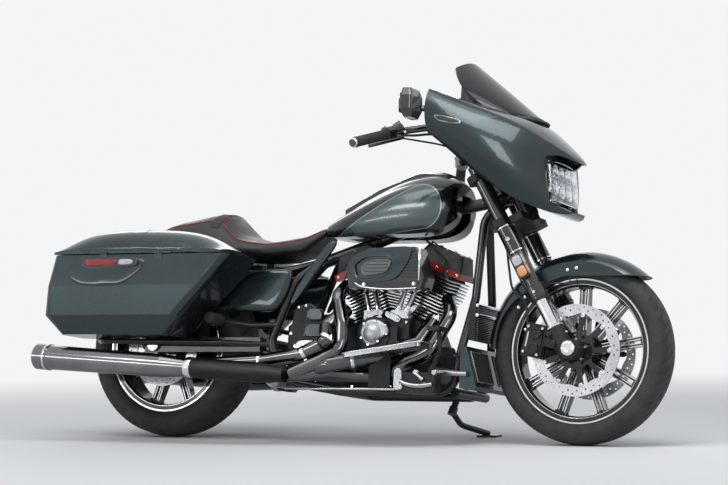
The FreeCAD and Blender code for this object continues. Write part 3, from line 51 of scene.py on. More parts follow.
# columns: name, place, what it faces, width, height, watts
for name, place, aim, width, height, watts in (
        ("overhead", (0.2, -1.2, 4.6), (0, 0, 0.6), 5.4, 2.4, 76),
        ("key", (-1.9, -4.4, 3.6), (0.1, 0, 0.6), 3.4, 1.0, 70),
        ("rear_rim", (-2.2, 3.4, 2.8), (0, 0, 0.7), 3.0, 1.2, 26),
        ("front_side", (4.2, -3.2, 2.2), (0.4, 0, 0.7), 1.1, 2.2, 45),
        ("fender_light", (1.22, -0.55, 1.85), (1.0, 0, 0.66), 1.0, 0.6, 9),
        ("low_side", (-3.2, -4.6, 1.2), (-0.3, 0, 0.5), 2.4, 0.4, 22)):
    lamp = bpy.data.lights.new(name, "AREA")
    lamp.shape, lamp.size, lamp.size_y, lamp.energy = "RECTANGLE", width, height, watts
    softbox = bpy.data.objects.new(name, lamp)
    softbox.location = place
    softbox.rotation_euler = (Vector(aim) - Vector(place)).to_track_quat("-Z", "Y").to_euler()
    softbox.visible_camera = False
    bpy.context.collection.objects.link(softbox)


def plug(socket, value):
    """Gives a shader node's input a value, or joins it to another node's output."""
    if isinstance(value, bpy.types.NodeSocket):
        socket.id_data.links.new(value, socket)
    else:
        socket.default_value = (*value, 1) if socket.type == "RGBA" else value


def node(tree, kind, inputs, **settings):
    """Adds a shader node, fills its inputs and returns its outputs."""
    made = tree.nodes.new("ShaderNode" + kind)
    for name, value in settings.items():
        setattr(made, name, value)
    for key, value in inputs.items():
        plug(made.inputs[key], value)
    return made.outputs


# The wall is pale where the camera, mirrors and glass see it, and dimmer as a light.
world = bpy.data.worlds.new("studio")
scene.world = world
world.use_nodes = True
tree = world.node_tree
tree.nodes.clear()
ray = node(tree, "LightPath", {})
mirrored = node(tree, "Math", {0: ray["Is Glossy Ray"], 1: ray["Is Transmission Ray"]}, operation="MAXIMUM")
seen = node(tree, "Math", {0: ray["Is Camera Ray"], 1: mirrored[0]}, operation="MAXIMUM")
lit = node(tree, "Background", {"Color": (0.62, 0.68, 0.72), "Strength": 0.34})
shown = node(tree, "Background", {"Color": PALE})
wall = node(tree, "MixShader", {0: seen[0], 1: lit[0], 2: shown[0]})
node(tree, "OutputWorld", {0: wall[0]})

floor_mesh = bpy.data.meshes.new("studio_floor")
floor_mesh.from_pydata([(-14, -14, 0), (14, -14, 0), (14, 14, 0), (-14, 14, 0)], [], [(0, 1, 2, 3)])
studio_floor = bpy.data.objects.new("studio_floor", floor_mesh)
bpy.context.collection.objects.link(studio_floor)
floor_paint = bpy.data.materials.new("floor_paint")
floor_paint.use_nodes = True
tree = floor_paint.node_tree
matt = tree.nodes["Principled BSDF"]
plug(matt.inputs["Base Color"], (0.78, 0.79, 0.80))
plug(matt.inputs["Roughness"], 0.7)
where = node(tree, "TexCoord", {})["Object"]
distance = node(tree, "VectorMath", {0: where}, operation="LENGTH")["Value"]
fade = node(tree, "MapRange", {"Value": distance, "From Min": 1.6, "From Max": 6.0},
            interpolation_type="SMOOTHSTEP")["Result"]
sweep = node(tree, "Emission", {"Color": PALE})
blend = node(tree, "MixShader", {0: fade, 1: matt.outputs[0], 2: sweep[0]})
plug(tree.nodes["Material Output"].inputs[0], blend[0])
studio_floor.data.materials.append(floor_paint)

# Body paint. Dark metallic paint under a clear coat, sprayed on pressed steel and moulded
# panels: the flake shows as a fine sparkle, and dust dulls the coat a little.

# Shapes are worked out on the upright bike, in millimetres from under the rear axle. STAND leans
# them on the side stand and brings them to the frame's metres.
LEAN = math.radians(7)
SHIFT = Vector((-730.5, -136.698, 0))
STAND = Matrix.Scale(0.001, 4) @ Matrix.Translation(SHIFT) @ Matrix.Rotation(-LEAN, 4, "X")


class Finish:
    """One procedural material, with small makers for the nodes that most finishes share."""

    def __init__(self, name, **inputs):
        self.made = bpy.data.materials.new(name)
        self.made.use_nodes = True
        self.tree = self.made.node_tree
        self.shader = self.tree.nodes["Principled BSDF"].inputs
        self.give(**inputs)
        self.place = node(self.tree, "TexCoord", {})["Object"]

    def give(self, **inputs):
        """Fills the shader's inputs with values or with nodes' outputs."""
        for name, value in inputs.items():
            plug(self.shader[name.replace("_", " ")], value)

    def given(self, name):
        """The node's output that one of the shader's inputs was given."""
        return self.shader[name].links[0].from_socket

    def upright(self):
        """Coordinates of the upright bike in metres, from the leaned frame's."""
        lean = {"Vector": self.place, "Location": SHIFT * 0.001, "Rotation": (-LEAN, 0, 0)}
        back = node(self.tree, "Mapping", lean, vector_type="TEXTURE")
        return node(self.tree, "SeparateXYZ", {0: back[0]})

    def noise(self, scale, detail, rough=0.5):
        inputs = {"Vector": self.place, "Scale": scale, "Detail": detail, "Roughness": rough}
        return node(self.tree, "TexNoise", inputs)["Fac"]

    def maths(self, kind, *values):
        return node(self.tree, "Math", dict(enumerate(values)), operation=kind)[0]

    def span(self, value, low, high, to_low=0.0, to_high=1.0):
        """Carries the stretch from low to high over to another, held at both ends."""
        inputs = {"Value": value, "From Min": low, "From Max": high, "To Min": to_low, "To Max": to_high}
        return node(self.tree, "MapRange", inputs)["Result"]

    def mix(self, share, first, second):
        return node(self.tree, "Mix", {0: share, 6: first, 7: second}, data_type="RGBA")[2]

    def bump(self, height, strength, distance):
        relief = node(self.tree, "Bump", {"Height": height, "Strength": strength, "Distance": distance})
        self.give(Normal=relief[0])

    def worn(self, base, spot, scale, rough, grain, strength, depth):
        """Colour drifts between two tones in patches of a scale, roughness from low to high in smears,
        and a grain with its own scale, strength and depth in metres breaks the surface."""
        drift = self.span(self.noise(scale, 4), 0.35, 0.7)
        self.give(Base_Color=self.mix(drift, base, spot))
        self.give(Roughness=self.span(self.noise(scale * 2.3, 5, rough=0.65), 0.3, 0.75, *rough))
        self.bump(self.noise(grain, 2), strength, depth)


def dress(finish, *names):
    """Gives a finish to CAD nodes or to pieces already made."""
    for name in names:
        slots = bpy.data.objects[name].data.materials
        slots.clear()
        slots.append(finish.made)


def paint(name, deep, light):
    """Metallic paint: deep and light tones in soft clouds, with a fine flake."""
    made = Finish(name, Metallic=0.8, Coat_Weight=0.6, Coat_Roughness=0.03)
    flake = made.span(made.noise(2600, 1), 0.42, 0.62)
    cloud = made.span(made.noise(1.6, 2), 0.3, 0.7)
    tone = made.mix(made.maths("MULTIPLY", cloud, 0.5), deep, light)
    made.give(Base_Color=made.mix(made.maths("MULTIPLY", flake, 0.35), tone, light))
    made.give(Roughness=made.span(made.noise(4.5, 5, rough=0.7), 0.35, 0.8, 0.22, 0.36))
    made.bump(made.noise(3000, 1), 0.04, 0.0002)
    return made


body_paint = paint("body_paint", (0.012, 0.020, 0.023), (0.046, 0.069, 0.075))
dress(body_paint, "fairing_outer", "front_fender", "rear_fender", "rear_fascia", "saddlebag_right",
      "saddlebag_left", "bag_lid_right", "bag_lid_left", "side_covers", "frame_trims", "chin_spoiler")

# Body panels. Pressed steel and moulded covers in that paint, their rims rolled over, bolted to
# the frame through rubber. The side covers and the trims ahead of them are full, not flat.
import bmesh

LEFT, RIGHT = Vector((0, 1, 0)), Vector((0, -1, 0))
AHEAD, UP = Vector((1, 0, 0)), Vector((0, 0, 1))


def soften(width, *names):
    """Rounds the sharp edges of CAD pieces, as rolled, cast and moulded edges are."""
    for name in names:
        made = bpy.data.objects[name]
        made.modifiers.new("weld", "WELD").merge_threshold = 0.00002
        edge = made.modifiers.new("edge", "BEVEL")
        edge.width, edge.segments, edge.angle_limit = width * 0.001, 3, math.radians(34)
        edge.limit_method = "ANGLE"
        made.modifiers.new("normals", "WEIGHTED_NORMAL").keep_sharp = True


def box(a, b, c, d):
    """The corners of a rectangle, from one corner and the opposite one."""
    return [(a, b), (c, b), (c, d), (a, d)]


def eased(outline, rounds=2):
    """Cuts an outline's corners again and again until they are round."""
    for _ in range(rounds):
        cut = []
        for (ax, az), (bx, bz) in zip(outline, outline[1:] + outline[:1]):
            cut += [(0.8 * ax + 0.2 * bx, 0.8 * az + 0.2 * bz), (0.2 * ax + 0.8 * bx, 0.2 * az + 0.8 * bz)]
        outline = cut
    return outline


class Stock:
    """Points and faces of one piece in the upright bike's millimetres, gathered shape by shape."""

    def __init__(self):
        self.points, self.faces = [], []

    def add(self, points, faces):
        first = len(self.points)
        self.points += [Vector(p) for p in points]
        self.faces += [[first + i for i in face] for face in faces]
        return self

    def tube(self, rings, ends="capped"):
        """Joins rings of points into one skin. Its ends are capped, open or joined to each other."""
        count, around = len(rings), len(rings[0])
        faces = []
        for i in range(count if ends == "joined" else count - 1):
            a, b = i * around, (i + 1) % count * around
            faces += [[a + k, a + (k + 1) % around, b + (k + 1) % around, b + k] for k in range(around)]
        if ends == "capped":
            faces += [list(range(around))[::-1], [(count - 1) * around + k for k in range(around)]]
        return self.add([p for ring in rings for p in ring], faces)

    def turn(self, rows, centre, way=LEFT, steps=48, ring=False):
        """A turned shape: rows are (distance along the way, radius). A ring's rows close up."""
        way = Vector(way).normalized()
        side = way.orthogonal().normalized()
        up = way.cross(side)
        angles = [2 * math.pi * k / steps for k in range(steps)]
        spokes = [side * math.cos(a) + up * math.sin(a) for a in angles]
        return self.tube([[Vector(centre) + way * along + spoke * radius for spoke in spokes]
                          for along, radius in rows], "joined" if ring else "capped")

    def bend(self, path, radius, steps=12, smooth=6):
        """A rod bent smoothly through the path's points; radius may be a list, one per point."""
        path = [Vector(p) for p in path]
        thick = radius if isinstance(radius, list) else [radius] * len(path)
        line, sizes = [], []
        for i in range(len(path) - 1):
            p0, p1, p2 = path[max(i - 1, 0)], path[i], path[i + 1]
            p3 = path[min(i + 2, len(path) - 1)]
            for k in range(smooth):
                t = k / smooth
                line.append(0.5 * (2 * p1 + (p2 - p0) * t + (2 * p0 - 5 * p1 + 4 * p2 - p3) * t * t
                                   + (3 * p1 - p0 - 3 * p2 + p3) * t ** 3))
                sizes.append(thick[i] * (1 - t) + thick[i + 1] * t)
        line.append(path[-1])
        sizes.append(thick[-1])
        side = (line[1] - line[0]).normalized().orthogonal().normalized()
        angles = [2 * math.pi * k / steps for k in range(steps)]
        rings = []
        for i, (centre, size) in enumerate(zip(line, sizes)):
            way = (line[min(i + 1, len(line) - 1)] - line[max(i - 1, 0)]).normalized()
            side = (side - way * side.dot(way)).normalized()
            up = way.cross(side)
            rings.append([centre + (side * math.cos(a) + up * math.sin(a)) * size for a in angles])
        return self.tube(rings)

    def pillow(self, outline, rows, place=None):
        """A full pad on an outline of (x, z): rows are (y, how far the outline is drawn in).
        Place, a matrix, moves it off that plane."""
        count = len(outline)
        middle = Vector((sum(x for x, _ in outline) / count, sum(z for _, z in outline) / count))
        rings = []
        for y, drawn in rows:
            ring = []
            for x, z in outline:
                pull = middle - Vector((x, z))
                pull *= min(1.0, drawn / max(pull.length, 0.01))
                ring.append(Vector((x + pull.x, y, z + pull.y)))
            rings.append([place @ p for p in ring] if place is not None else ring)
        return self.tube(rings)

    def saw(self, outline, low, high, shrink=0.0, place=None):
        """A plate sawn to an outline of (x, z) from y low to y high. Shrink draws the high face in."""
        rows = [(low, 0), (high, 0)]
        if shrink:
            rows = [(low, 0), (high - shrink if high > low else high + shrink, 0), (high, shrink)]
        return self.pillow(outline, rows, place)

    def bolt(self, place, way, radius=5.0, high=4.0):
        """A socket-headed bolt standing on a face."""
        rows = [(-1, radius), (high * 0.7, radius), (high, radius * 0.85), (high, radius * 0.5),
                (high * 0.4, radius * 0.45)]
        return self.turn(rows, place, way, 12)

    def bolts(self, spots, y, way, radius, high):
        """Bolts at several (x, z) of one upright face."""
        for x, z in spots:
            self.bolt((x, y, z), way, radius, high)

    def both(self):
        """Adds the same again on the bike's other side."""
        twins = [Vector((p.x, -p.y, p.z)) for p in self.points]
        return self.add(twins, [face[::-1] for face in self.faces])

    def piece(self, name, finish, body, crease=32, round_off=0.0):
        """Makes the piece: edges sharper than the crease angle stay sharp, or are rounded off."""
        mesh = bpy.data.meshes.new(name)
        mesh.from_pydata([STAND @ p for p in self.points], [], self.faces)
        bm = bmesh.new()
        bm.from_mesh(mesh)
        bmesh.ops.remove_doubles(bm, verts=bm.verts, dist=0.000002)
        bmesh.ops.recalc_face_normals(bm, faces=bm.faces)
        bm.to_mesh(mesh)
        bm.free()
        made = bpy.data.objects.new(name, mesh)
        bpy.context.collection.objects.link(made)
        mesh.materials.append(finish.made)
        mesh.polygons.foreach_set("use_smooth", [True] * len(mesh.polygons))
        mesh.set_sharp_from_angle(angle=math.radians(crease))
        if round_off:
            edge = made.modifiers.new("edge", "BEVEL")
            edge.width, edge.segments, edge.angle_limit = round_off * 0.001, 2, math.radians(35)
        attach(made, body)
        return made


soften(3, "saddlebag_right", "saddlebag_left", "rear_fascia")
soften(1.5, "front_fender", "fairing_outer", "chin_spoiler", "bag_lid_right", "bag_lid_left")

cover = eased([(566, 602), (470, 604), (374, 592), (312, 532), (250, 468), (288, 452), (390, 448),
               (492, 446), (524, 480), (546, 520)], 3)
swell = [(153, 4), (156, 0), (161, 1), (165, 6), (167.5, 14), (169, 28), (169, 60)]
full = Stock().pillow(cover, swell).both()
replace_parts(full.piece("side_cover_skins", body_paint, "root", 60), "side_covers")
blade = eased([(690, 690), (712, 702), (726, 700), (722, 680), (640, 574), (560, 470), (546, 474),
               (566, 520), (590, 560), (640, 632)], 3)
full = Stock().pillow(blade, [(141, 1), (143, 0), (147, 1.5), (150, 5), (151, 10), (151, 14)]).both()
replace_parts(full.piece("frame_trim_skins", body_paint, "root", 60), "frame_trims")

# Front fender's edge. A black rubber bead rolls round its open rim on both sides and across the
# crown, and button rivets hold the fender to its stays.
WHEEL_X, WHEEL_Z = 1620, 319
FENDER_SIDE, EDGE_Z = 80.5, 574


def fender_reach(y):
    """How far the fender's skin lies from the axle, at a distance y from its middle."""
    return 245 + math.sqrt(10000 - y * y)


edging = Stock()
across = [80 - 10 * k for k in range(9)]
crown = [(WHEEL_X + math.sqrt(fender_reach(y) ** 2 - 255 ** 2), y, EDGE_Z) for y in across]
foot = [(1592, 548), (1592, 572), (1605, EDGE_Z), (1700, EDGE_Z)]
edging.bend([(x, FENDER_SIDE, z) for x, z in foot] + crown, 2.4, 8, 4)
arc = [(1545 + 230 * math.cos(math.radians(a)), FENDER_SIDE, WHEEL_Z + 230 * math.sin(math.radians(a)))
       for a in range(79, 178, 6)]
tail_angle = math.radians(177.6)
lip = []
for y in across:
    reach = fender_reach(y)
    lip.append((WHEEL_X + reach * math.cos(tail_angle), y, WHEEL_Z + reach * math.sin(tail_angle)))
edging.bend(arc + lip, 2.4, 8, 3)
moulded_black = Finish("moulded_black")
moulded_black.worn((0.016, 0.016, 0.017), (0.026, 0.026, 0.027), 20, (0.5, 0.7), 1800, 0.4, 0.0004)
edging.both().piece("fender_edging", moulded_black, "steering", 60)
polished = Finish("polished", Metallic=1.0)
polished.worn((0.80, 0.81, 0.82), (0.66, 0.67, 0.69), 10, (0.05, 0.2), 500, 0.03, 0.0002)
rivets = Stock()
for x, z in ((1579, 594), (1612, 600), (1427, 502), (1404, 466)):
    rivets.turn([(-1, 6), (1, 6), (2.6, 4.4), (3.2, 2)], (x, 80, z), LEFT, 14)
rivets.both().piece("fender_rivets", polished, "steering")

# Fuel tank. Pressed steel in the same paint under one clear coat. Each flank has a lighter
# panel, a long drop shape with a fine silver line round it, inside a near-black border.
tank_paint = paint("tank_paint", (0.055, 0.072, 0.075), (0.150, 0.185, 0.190))
x, _, z = tank_paint.upright()
start, end = Vector((0.704, 0.710)), Vector((1.040, 0.818))
run = end - start
from_x = tank_paint.maths("SUBTRACT", x, start.x)
from_z = tank_paint.maths("SUBTRACT", z, start.y)
along = tank_paint.maths("MULTIPLY_ADD", from_z, run.y, tank_paint.maths("MULTIPLY", from_x, run.x))
share = tank_paint.span(along, 0, run.length_squared)
off_x = tank_paint.maths("MULTIPLY_ADD", share, -run.x, from_x)
off_z = tank_paint.maths("MULTIPLY_ADD", share, -run.y, from_z)
square = tank_paint.maths("MULTIPLY_ADD", off_x, off_x, tank_paint.maths("MULTIPLY", off_z, off_z))
half_width = tank_paint.span(share, 0, 1, 0.012, 0.082)
past = tank_paint.maths("SUBTRACT", tank_paint.maths("SQRT", square), half_width)
inside = tank_paint.span(past, 0.0006, -0.0006)
rim_line = tank_paint.span(tank_paint.maths("ABSOLUTE", past), 0.0019, 0.0011)
border = tank_paint.mix(tank_paint.span(tank_paint.noise(2600, 1), 0.45, 0.65), (0.010, 0.013, 0.014),
                        (0.022, 0.028, 0.030))
tones = tank_paint.mix(inside, border, tank_paint.given("Base Color"))
tank_paint.give(Base_Color=tank_paint.mix(rim_line, tones, (0.34, 0.38, 0.39)))
dress(tank_paint, "fuel_tank")
soften(2, "fuel_tank")

# Console. A black moulding screwed to the tank's crown, with a bead of bright trim down each side
# and across its front, and the filler door's thumb catch.
gloss_black = Finish("gloss_black", Coat_Weight=0.8, Coat_Roughness=0.04)
gloss_black.worn((0.008, 0.008, 0.009), (0.014, 0.014, 0.015), 6, (0.08, 0.22), 700, 0.04, 0.0002)
dress(gloss_black, "tank_console", "fuel_door")
soften(2, "tank_console", "fuel_door")
strip = Stock()
for side in (-1, 1):
    strip.bend([(x, 34 * side, z) for x, z in ((1096, 946), (1040, 949.5), (985, 950), (905, 922),
                                               (840, 899.5), (760, 858))], 2.0, 8, 5)
strip.bend([(1094, 33, 946.4), (1097, 12, 946.5), (1097, -12, 946.5), (1094, -33, 946.4)], 2.0, 8, 4)
for x, z, slope in ((1092, 947.2, 0), (790, 874.5, -0.35), (872, 911.5, -0.35)):
    strip.bolt((x, 0, z), (slope, 0, 1), 5.5, 2.5)
strip.piece("console_trim", polished, "root", 50)


def lying(z=0.0):
    """Lays an outline of (x, y) flat at a height, with its thickness upward."""
    return Matrix(((1, 0, 0, 0), (0, 0, 1, 0), (0, 1, 0, z), (0, 0, 0, 1)))


catch = Stock().saw(eased(box(1062, -9, 1080, 9)), 0, 3, 1, lying(953))
catch.piece("filler_catch", polished, "fuel_door")

# Frame. Welded steel tube with a cast swingarm, all powder coated satin black, with the shocks and
# the side stand in the same coat.
frame_black = Finish("frame_black", Coat_Weight=0.25, Coat_Roughness=0.08,
                     Specular_IOR_Level=0.35)
frame_black.worn((0.010, 0.010, 0.011), (0.020, 0.020, 0.022), 5, (0.22, 0.42), 900, 0.08, 0.0003)
dress(frame_black, "frame", "swingarm", "side_stand", "rear_shocks")

# Tyres. Black road rubber on cast rims: a sweeping groove pattern is cut into the tread, and fine
# rings are moulded in the side walls. The leaning tyre gives way where it would pass the floor.
FRONT_AXLE = (WHEEL_X, 0, 319.0)
REAR_AXLE = (0, 0, 327.6)


def tyre_finish(name, axle, radius):
    """Rubber with drifting grey, and the rings that the side walls have below the tread."""
    made = Finish(name)
    x, _, z = made.upright()
    across = made.maths("SUBTRACT", x, axle[0] / 1000)
    rise = made.maths("SUBTRACT", z, axle[2] / 1000)
    square = made.maths("ADD", made.maths("MULTIPLY", across, across), made.maths("MULTIPLY", rise, rise))
    reach = made.maths("SQRT", square)
    rings = made.maths("SINE", made.maths("MULTIPLY", reach, 2600.0))
    wall = made.span(reach, radius / 1000 - 0.030, radius / 1000 - 0.036)
    drift = made.span(made.noise(12, 4), 0.35, 0.7)
    made.give(Base_Color=made.mix(drift, (0.017, 0.018, 0.019), (0.032, 0.033, 0.034)))
    made.give(Roughness=made.span(made.noise(30, 4), 0.3, 0.7, 0.6, 0.82))
    ringed = made.maths("MULTIPLY", rings, made.maths("MULTIPLY", wall, 0.6))
    made.bump(made.maths("ADD", ringed, made.noise(700, 2)), 0.35, 0.0004)
    return made


def groove(turn, share):
    """How deep the tread is cut: turn runs through one block, share from its middle to its edge."""
    width = 0.075 - 0.03 * share
    if share > 0.06 and turn < width:
        return 3.2
    if share > 0.34 and 0.5 < turn < 0.5 + width * 0.8:
        return 2.6
    return 0.0


def tyre(name, body, axle, radius, half, rim_r, blocks):
    """The tyre's skin as a grid, pushed in where a sweeping groove crosses it."""
    widest = radius - 0.6 * (radius - rim_r)
    bead = [(-half * 0.80, rim_r), (-half * 0.93, rim_r + 9), (-half * 0.99, widest - 9)]
    tread = []
    for k in range(41):
        s = -1 + k / 20
        tread.append((half * s, widest + (radius - widest) * (1 - abs(s) ** 2.3) ** (1 / 2.3)))
    rings, steps = [], 720
    for y, r in bead + tread + [(-y, r) for y, r in reversed(bead)]:
        share = abs(y) / half
        ground = radius - abs(y) * math.tan(LEAN)
        ring = []
        for k in range(steps):
            turn = (k / steps * blocks + (0.5 if y > 0 else 0.0) + 0.55 * share + 0.25 * share * share) % 1.0
            cut = groove(turn, share) if share < 0.86 and r > widest else 0.0
            a = 2 * math.pi * k / steps
            reach = min(r, ground) - cut
            ring.append((axle[0] + reach * math.cos(a), y, axle[2] + reach * math.sin(a)))
        rings.append(ring)
    made = Stock().tube(rings, "joined").piece(name, tyre_finish(name + "_rubber", axle, radius), body, 38)
    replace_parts(made, name.replace("_tread", ""))


tyre("front_tyre_tread", "front_wheel", FRONT_AXLE, 319.0, 65, 252, 26)
tyre("rear_tyre_tread", "rear_wheel", REAR_AXLE, 327.6, 90, 241, 24)

# Rims. Cast alloy with nine pairs of spokes, painted gloss black like the belt pulley; the lips and
# the spokes' edges are machined bright again, and a cast foot joins each pair to the rim. The belt
# is black rubber.
wheel_black = Finish("wheel_black", Coat_Weight=0.4, Coat_Roughness=0.04,
                     Specular_IOR_Level=0.35)
wheel_black.worn((0.010, 0.010, 0.011), (0.018, 0.018, 0.019), 8, (0.1, 0.26), 900, 0.05, 0.0002)
dress(wheel_black, "front_rim", "rear_rim", "rear_pulley")
dress(moulded_black, "drive_belt")
machined = Finish("machined", Metallic=1.0)
machined.worn((0.74, 0.74, 0.74), (0.58, 0.58, 0.59), 22, (0.12, 0.3), 1600, 0.08, 0.0002)
SPOKES, BAR_GAP, EDGE_WIDTH = 9, 9.5, 1.6
HUB_R, SPOKE_START, SPOKE_END = 38, 74, 34
ROOT_DEPTH, TIP_DEPTH = 26, 17


def spoke_edge(axle, rim_r, angle, bar, side, edge):
    """The two ends of one machined strip, each as four corners, on one bar of a pair."""
    out_way = Vector((math.sin(angle), 0, math.cos(angle)))
    along = Vector((math.cos(angle), 0, -math.sin(angle)))
    ends = []
    for reach in (SPOKE_START, rim_r - SPOKE_END):
        share = (reach - HUB_R) / (rim_r - 26 - HUB_R)
        off = bar * BAR_GAP * (0.8 + 0.45 * share) + edge * (11 * (0.62 - 0.12 * share) - EDGE_WIDTH)
        deep = side * (ROOT_DEPTH + (TIP_DEPTH - ROOT_DEPTH) * share)
        middle = Vector(axle) + out_way * reach + along * off + Vector((0, deep, 0))
        ends.append([middle + along * (a * EDGE_WIDTH) + Vector((0, side * (b + 0.3), 0))
                     for a, b in box(-1, -0.5, 1, 0.5)])
    return ends


# columns: wheel, axle, rim radius, half width
for wheel, axle, rim_r, half in (("front", FRONT_AXLE, 252, 46), ("rear", REAR_AXLE, 241, 68)):
    bright, feet = Stock(), Stock()
    for side in (-1, 1):
        face = side * half
        for low, high, proud in ((rim_r - 9, rim_r - 2.5, 1.4), (rim_r - 24.6, rim_r - 21.8, 0.8)):
            bright.turn([(face, low), (face + side * proud, low + 0.8), (face + side * proud, high - 0.8),
                         (face, high), (face - side * 2, high), (face - side * 2, low)], axle, steps=160,
                        ring=True)
    for k in range(SPOKES):
        angle = 2 * math.pi * k / SPOKES
        for bar in (-1, 1):
            for side in (-1, 1):
                for edge in (-1, 1):
                    bright.tube(spoke_edge(axle, rim_r, angle, bar, side, edge))
        for side in (-1, 1):
            base = Vector(axle) + Vector((0, side * (TIP_DEPTH - 6), 0))
            foot = [(-24, rim_r - 25), (-19, rim_r - 36), (-7, rim_r - 40), (7, rim_r - 40),
                    (19, rim_r - 36), (24, rim_r - 25)]
            feet.saw(foot, 0, side * 8, 1.5, Matrix.Translation(base) @ Matrix.Rotation(angle, 4, "Y"))
    bright.piece(wheel + "_rim_bright", machined, wheel + "_wheel", 25)
    feet.piece(wheel + "_spoke_feet", wheel_black, wheel + "_wheel", round_off=1.2)

# Brake discs. Floating rings of ground steel, drilled and scalloped inside, that button-headed pins
# hold on black nine-armed carriers, and five bolts hold each carrier on its hub.
ground_steel = Finish("ground_steel", Metallic=1.0)
ground_steel.worn((0.58, 0.59, 0.60), (0.42, 0.43, 0.44), 9, (0.3, 0.42), 1500, 0.06, 0.0002)


def pierced(name, finish, body, loops, axle, low, high):
    """A flat ring cut from sheet: the first loop is its outside, the others are holes."""
    flat = bpy.data.curves.new(name, "CURVE")
    flat.dimensions, flat.fill_mode, flat.extrude = "2D", "BOTH", (high - low) / 2
    for loop in loops:
        line = flat.splines.new("POLY")
        line.points.add(len(loop) - 1)
        for point, (x, z) in zip(line.points, loop):
            point.co = (x, z, 0, 1)
        line.use_cyclic_u = True
    holder = bpy.data.objects.new(name + "_outline", flat)
    mesh = bpy.data.meshes.new_from_object(holder)
    bpy.data.objects.remove(holder)
    turn = Matrix.Translation((axle[0], (low + high) / 2, axle[2])) @ Matrix.Rotation(math.pi / 2, 4, "X")
    stock = Stock().add([turn @ v.co for v in mesh.vertices], [list(f.vertices) for f in mesh.polygons])
    return stock.piece(name, finish, body, 30)


def spaced(count, radius, shift=0.0):
    """Points at equal steps round a circle; shift turns them on by a share of one step."""
    angles = [2 * math.pi * (k + shift) / count for k in range(count)]
    return [(radius * math.cos(a), radius * math.sin(a)) for a in angles]


def hole(radius, steps, x=0.0, z=0.0):
    return [(x + a, z + b) for a, b in spaced(steps, radius)]


def scallops(radius, wave, waves, steps=180):
    """A circle that swings in and out, as the ring's inside does between its pins."""
    angles = [2 * math.pi * k / steps for k in range(steps)]
    reach = [radius + wave * math.cos(waves * a) for a in angles]
    return [(r * math.cos(a), r * math.sin(a)) for a, r in zip(angles, reach)]


def brake(name, body, axle, radius, middle, cad_disc):
    """A drilled ring with a scalloped inside, its nine-armed carrier and the pins between them."""
    arms, way = 9, LEFT if middle > 0 else RIGHT
    drilled = [hole(radius, 120), scallops(radius - 35, 4.5, arms)]
    for row, shift in ((radius - 9, 0), (radius - 20, 0.5)):
        drilled += [hole(3.4, 10, x, z) for x, z in spaced(27, row, shift)]
    ring = pierced(name + "_ring", ground_steel, body, drilled, axle, middle - 2.5, middle + 2.5)
    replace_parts(ring, cad_disc)
    spider = []
    for k in range(arms):
        a = 2 * math.pi * k / arms
        for turn, reach in ((-0.27, 62), (-0.13, 66), (-0.085, radius - 40), (0, radius - 33),
                            (0.085, radius - 40), (0.13, 66)):
            spider.append((reach * math.cos(a + turn), reach * math.sin(a + turn)))
    loops = [spider, hole(27, 40)] + [hole(6, 12, x, z) for x, z in spaced(arms, 50, 0.5)]
    pierced(name + "_carrier", wheel_black, body, loops, axle, middle - 2.2, middle + 3.4)
    pins = Stock()
    for x, z in spaced(arms, radius - 38):
        pins.turn([(2, 7.5), (4.2, 7.5), (5.2, 6.2), (5.2, 3), (3.6, 2.6)],
                  Vector(axle) + Vector((x, middle, z)), way, 16)
    for x, z in spaced(5, 37, 0.25):
        pins.bolt(Vector(axle) + Vector((x, middle, z)), way, 6, 8)
    pins.piece(name + "_pins", machined, body)


brake("front_brake_right", "front_wheel", FRONT_AXLE, 158, -78, "front_discs")
brake("front_brake_left", "front_wheel", FRONT_AXLE, 158, 78, "front_discs")
brake("rear_brake", "rear_wheel", REAR_AXLE, 146, -96, "rear_disc")

# Cylinders. Two air-cooled barrels in a vee on the crankcase, cast in alloy and coated black, with
# the fins' edges milled bright again, under rocker boxes on red bases that bolts hold down.
engine_black = Finish("engine_black", Specular_IOR_Level=0.3)
engine_black.worn((0.009, 0.009, 0.010), (0.022, 0.022, 0.023), 9, (0.35, 0.6), 1400, 0.35, 0.0004)
dress(engine_black, "crankcase", "cylinders", "rocker_covers", "engine_covers")
red_coat = Finish("red_coat", Coat_Weight=0.5)
red_coat.worn((0.42, 0.012, 0.008), (0.30, 0.008, 0.006), 12, (0.25, 0.45), 1200, 0.2, 0.0003)
dress(red_coat, "rocker_bases")
soften(2.5, "rocker_covers", "rocker_bases", "engine_covers", "crankcase", "pushrod_tubes")
CRANK_X, CRANK_Z = 928, 240
VEE = (22.5, -22.5)


def on_cylinder(tilt):
    return Matrix.Translation((CRANK_X, 0, CRANK_Z)) @ Matrix.Rotation(math.radians(tilt), 4, "Y")


edges, heads = Stock(), Stock()
for tilt in VEE:
    at = on_cylinder(tilt)
    ahead = 1 if tilt > 0 else -1
    for k in range(14):
        low = 219 + 12 * k
        half = 74 if k < 8 else 80
        for a, b in ((-half - 0.7, -half + 0.6), (half - 0.6, half + 0.7)):
            for plan in (box(-half, a, half, b), box(a, -half, b, half)):
                ends = [[at @ Vector((x, y, z)) for x, y in plan] for z in (low + 0.5, low + 4.5)]
                if min((p.x - CRANK_X) * ahead for p in ends[0] + ends[1]) >= 2:
                    edges.tube(ends)
    for x, y in ((-58, -34), (0, -38), (58, -34), (-58, 34), (0, 38), (58, 34)):
        heads.bolt(at @ Vector((x, y, 471)), at.to_3x3() @ UP, 7, 5)
    for x in (-84, -42, 0, 42, 84):
        for y in (-66, 66):
            heads.turn([(-1, 5), (1.4, 5), (2.2, 3.6)], at @ Vector((x, y, 403)), (0, y, 0), 10)
edges.piece("fin_edges", machined, "root")
heads.piece("head_bolts", polished, "root")

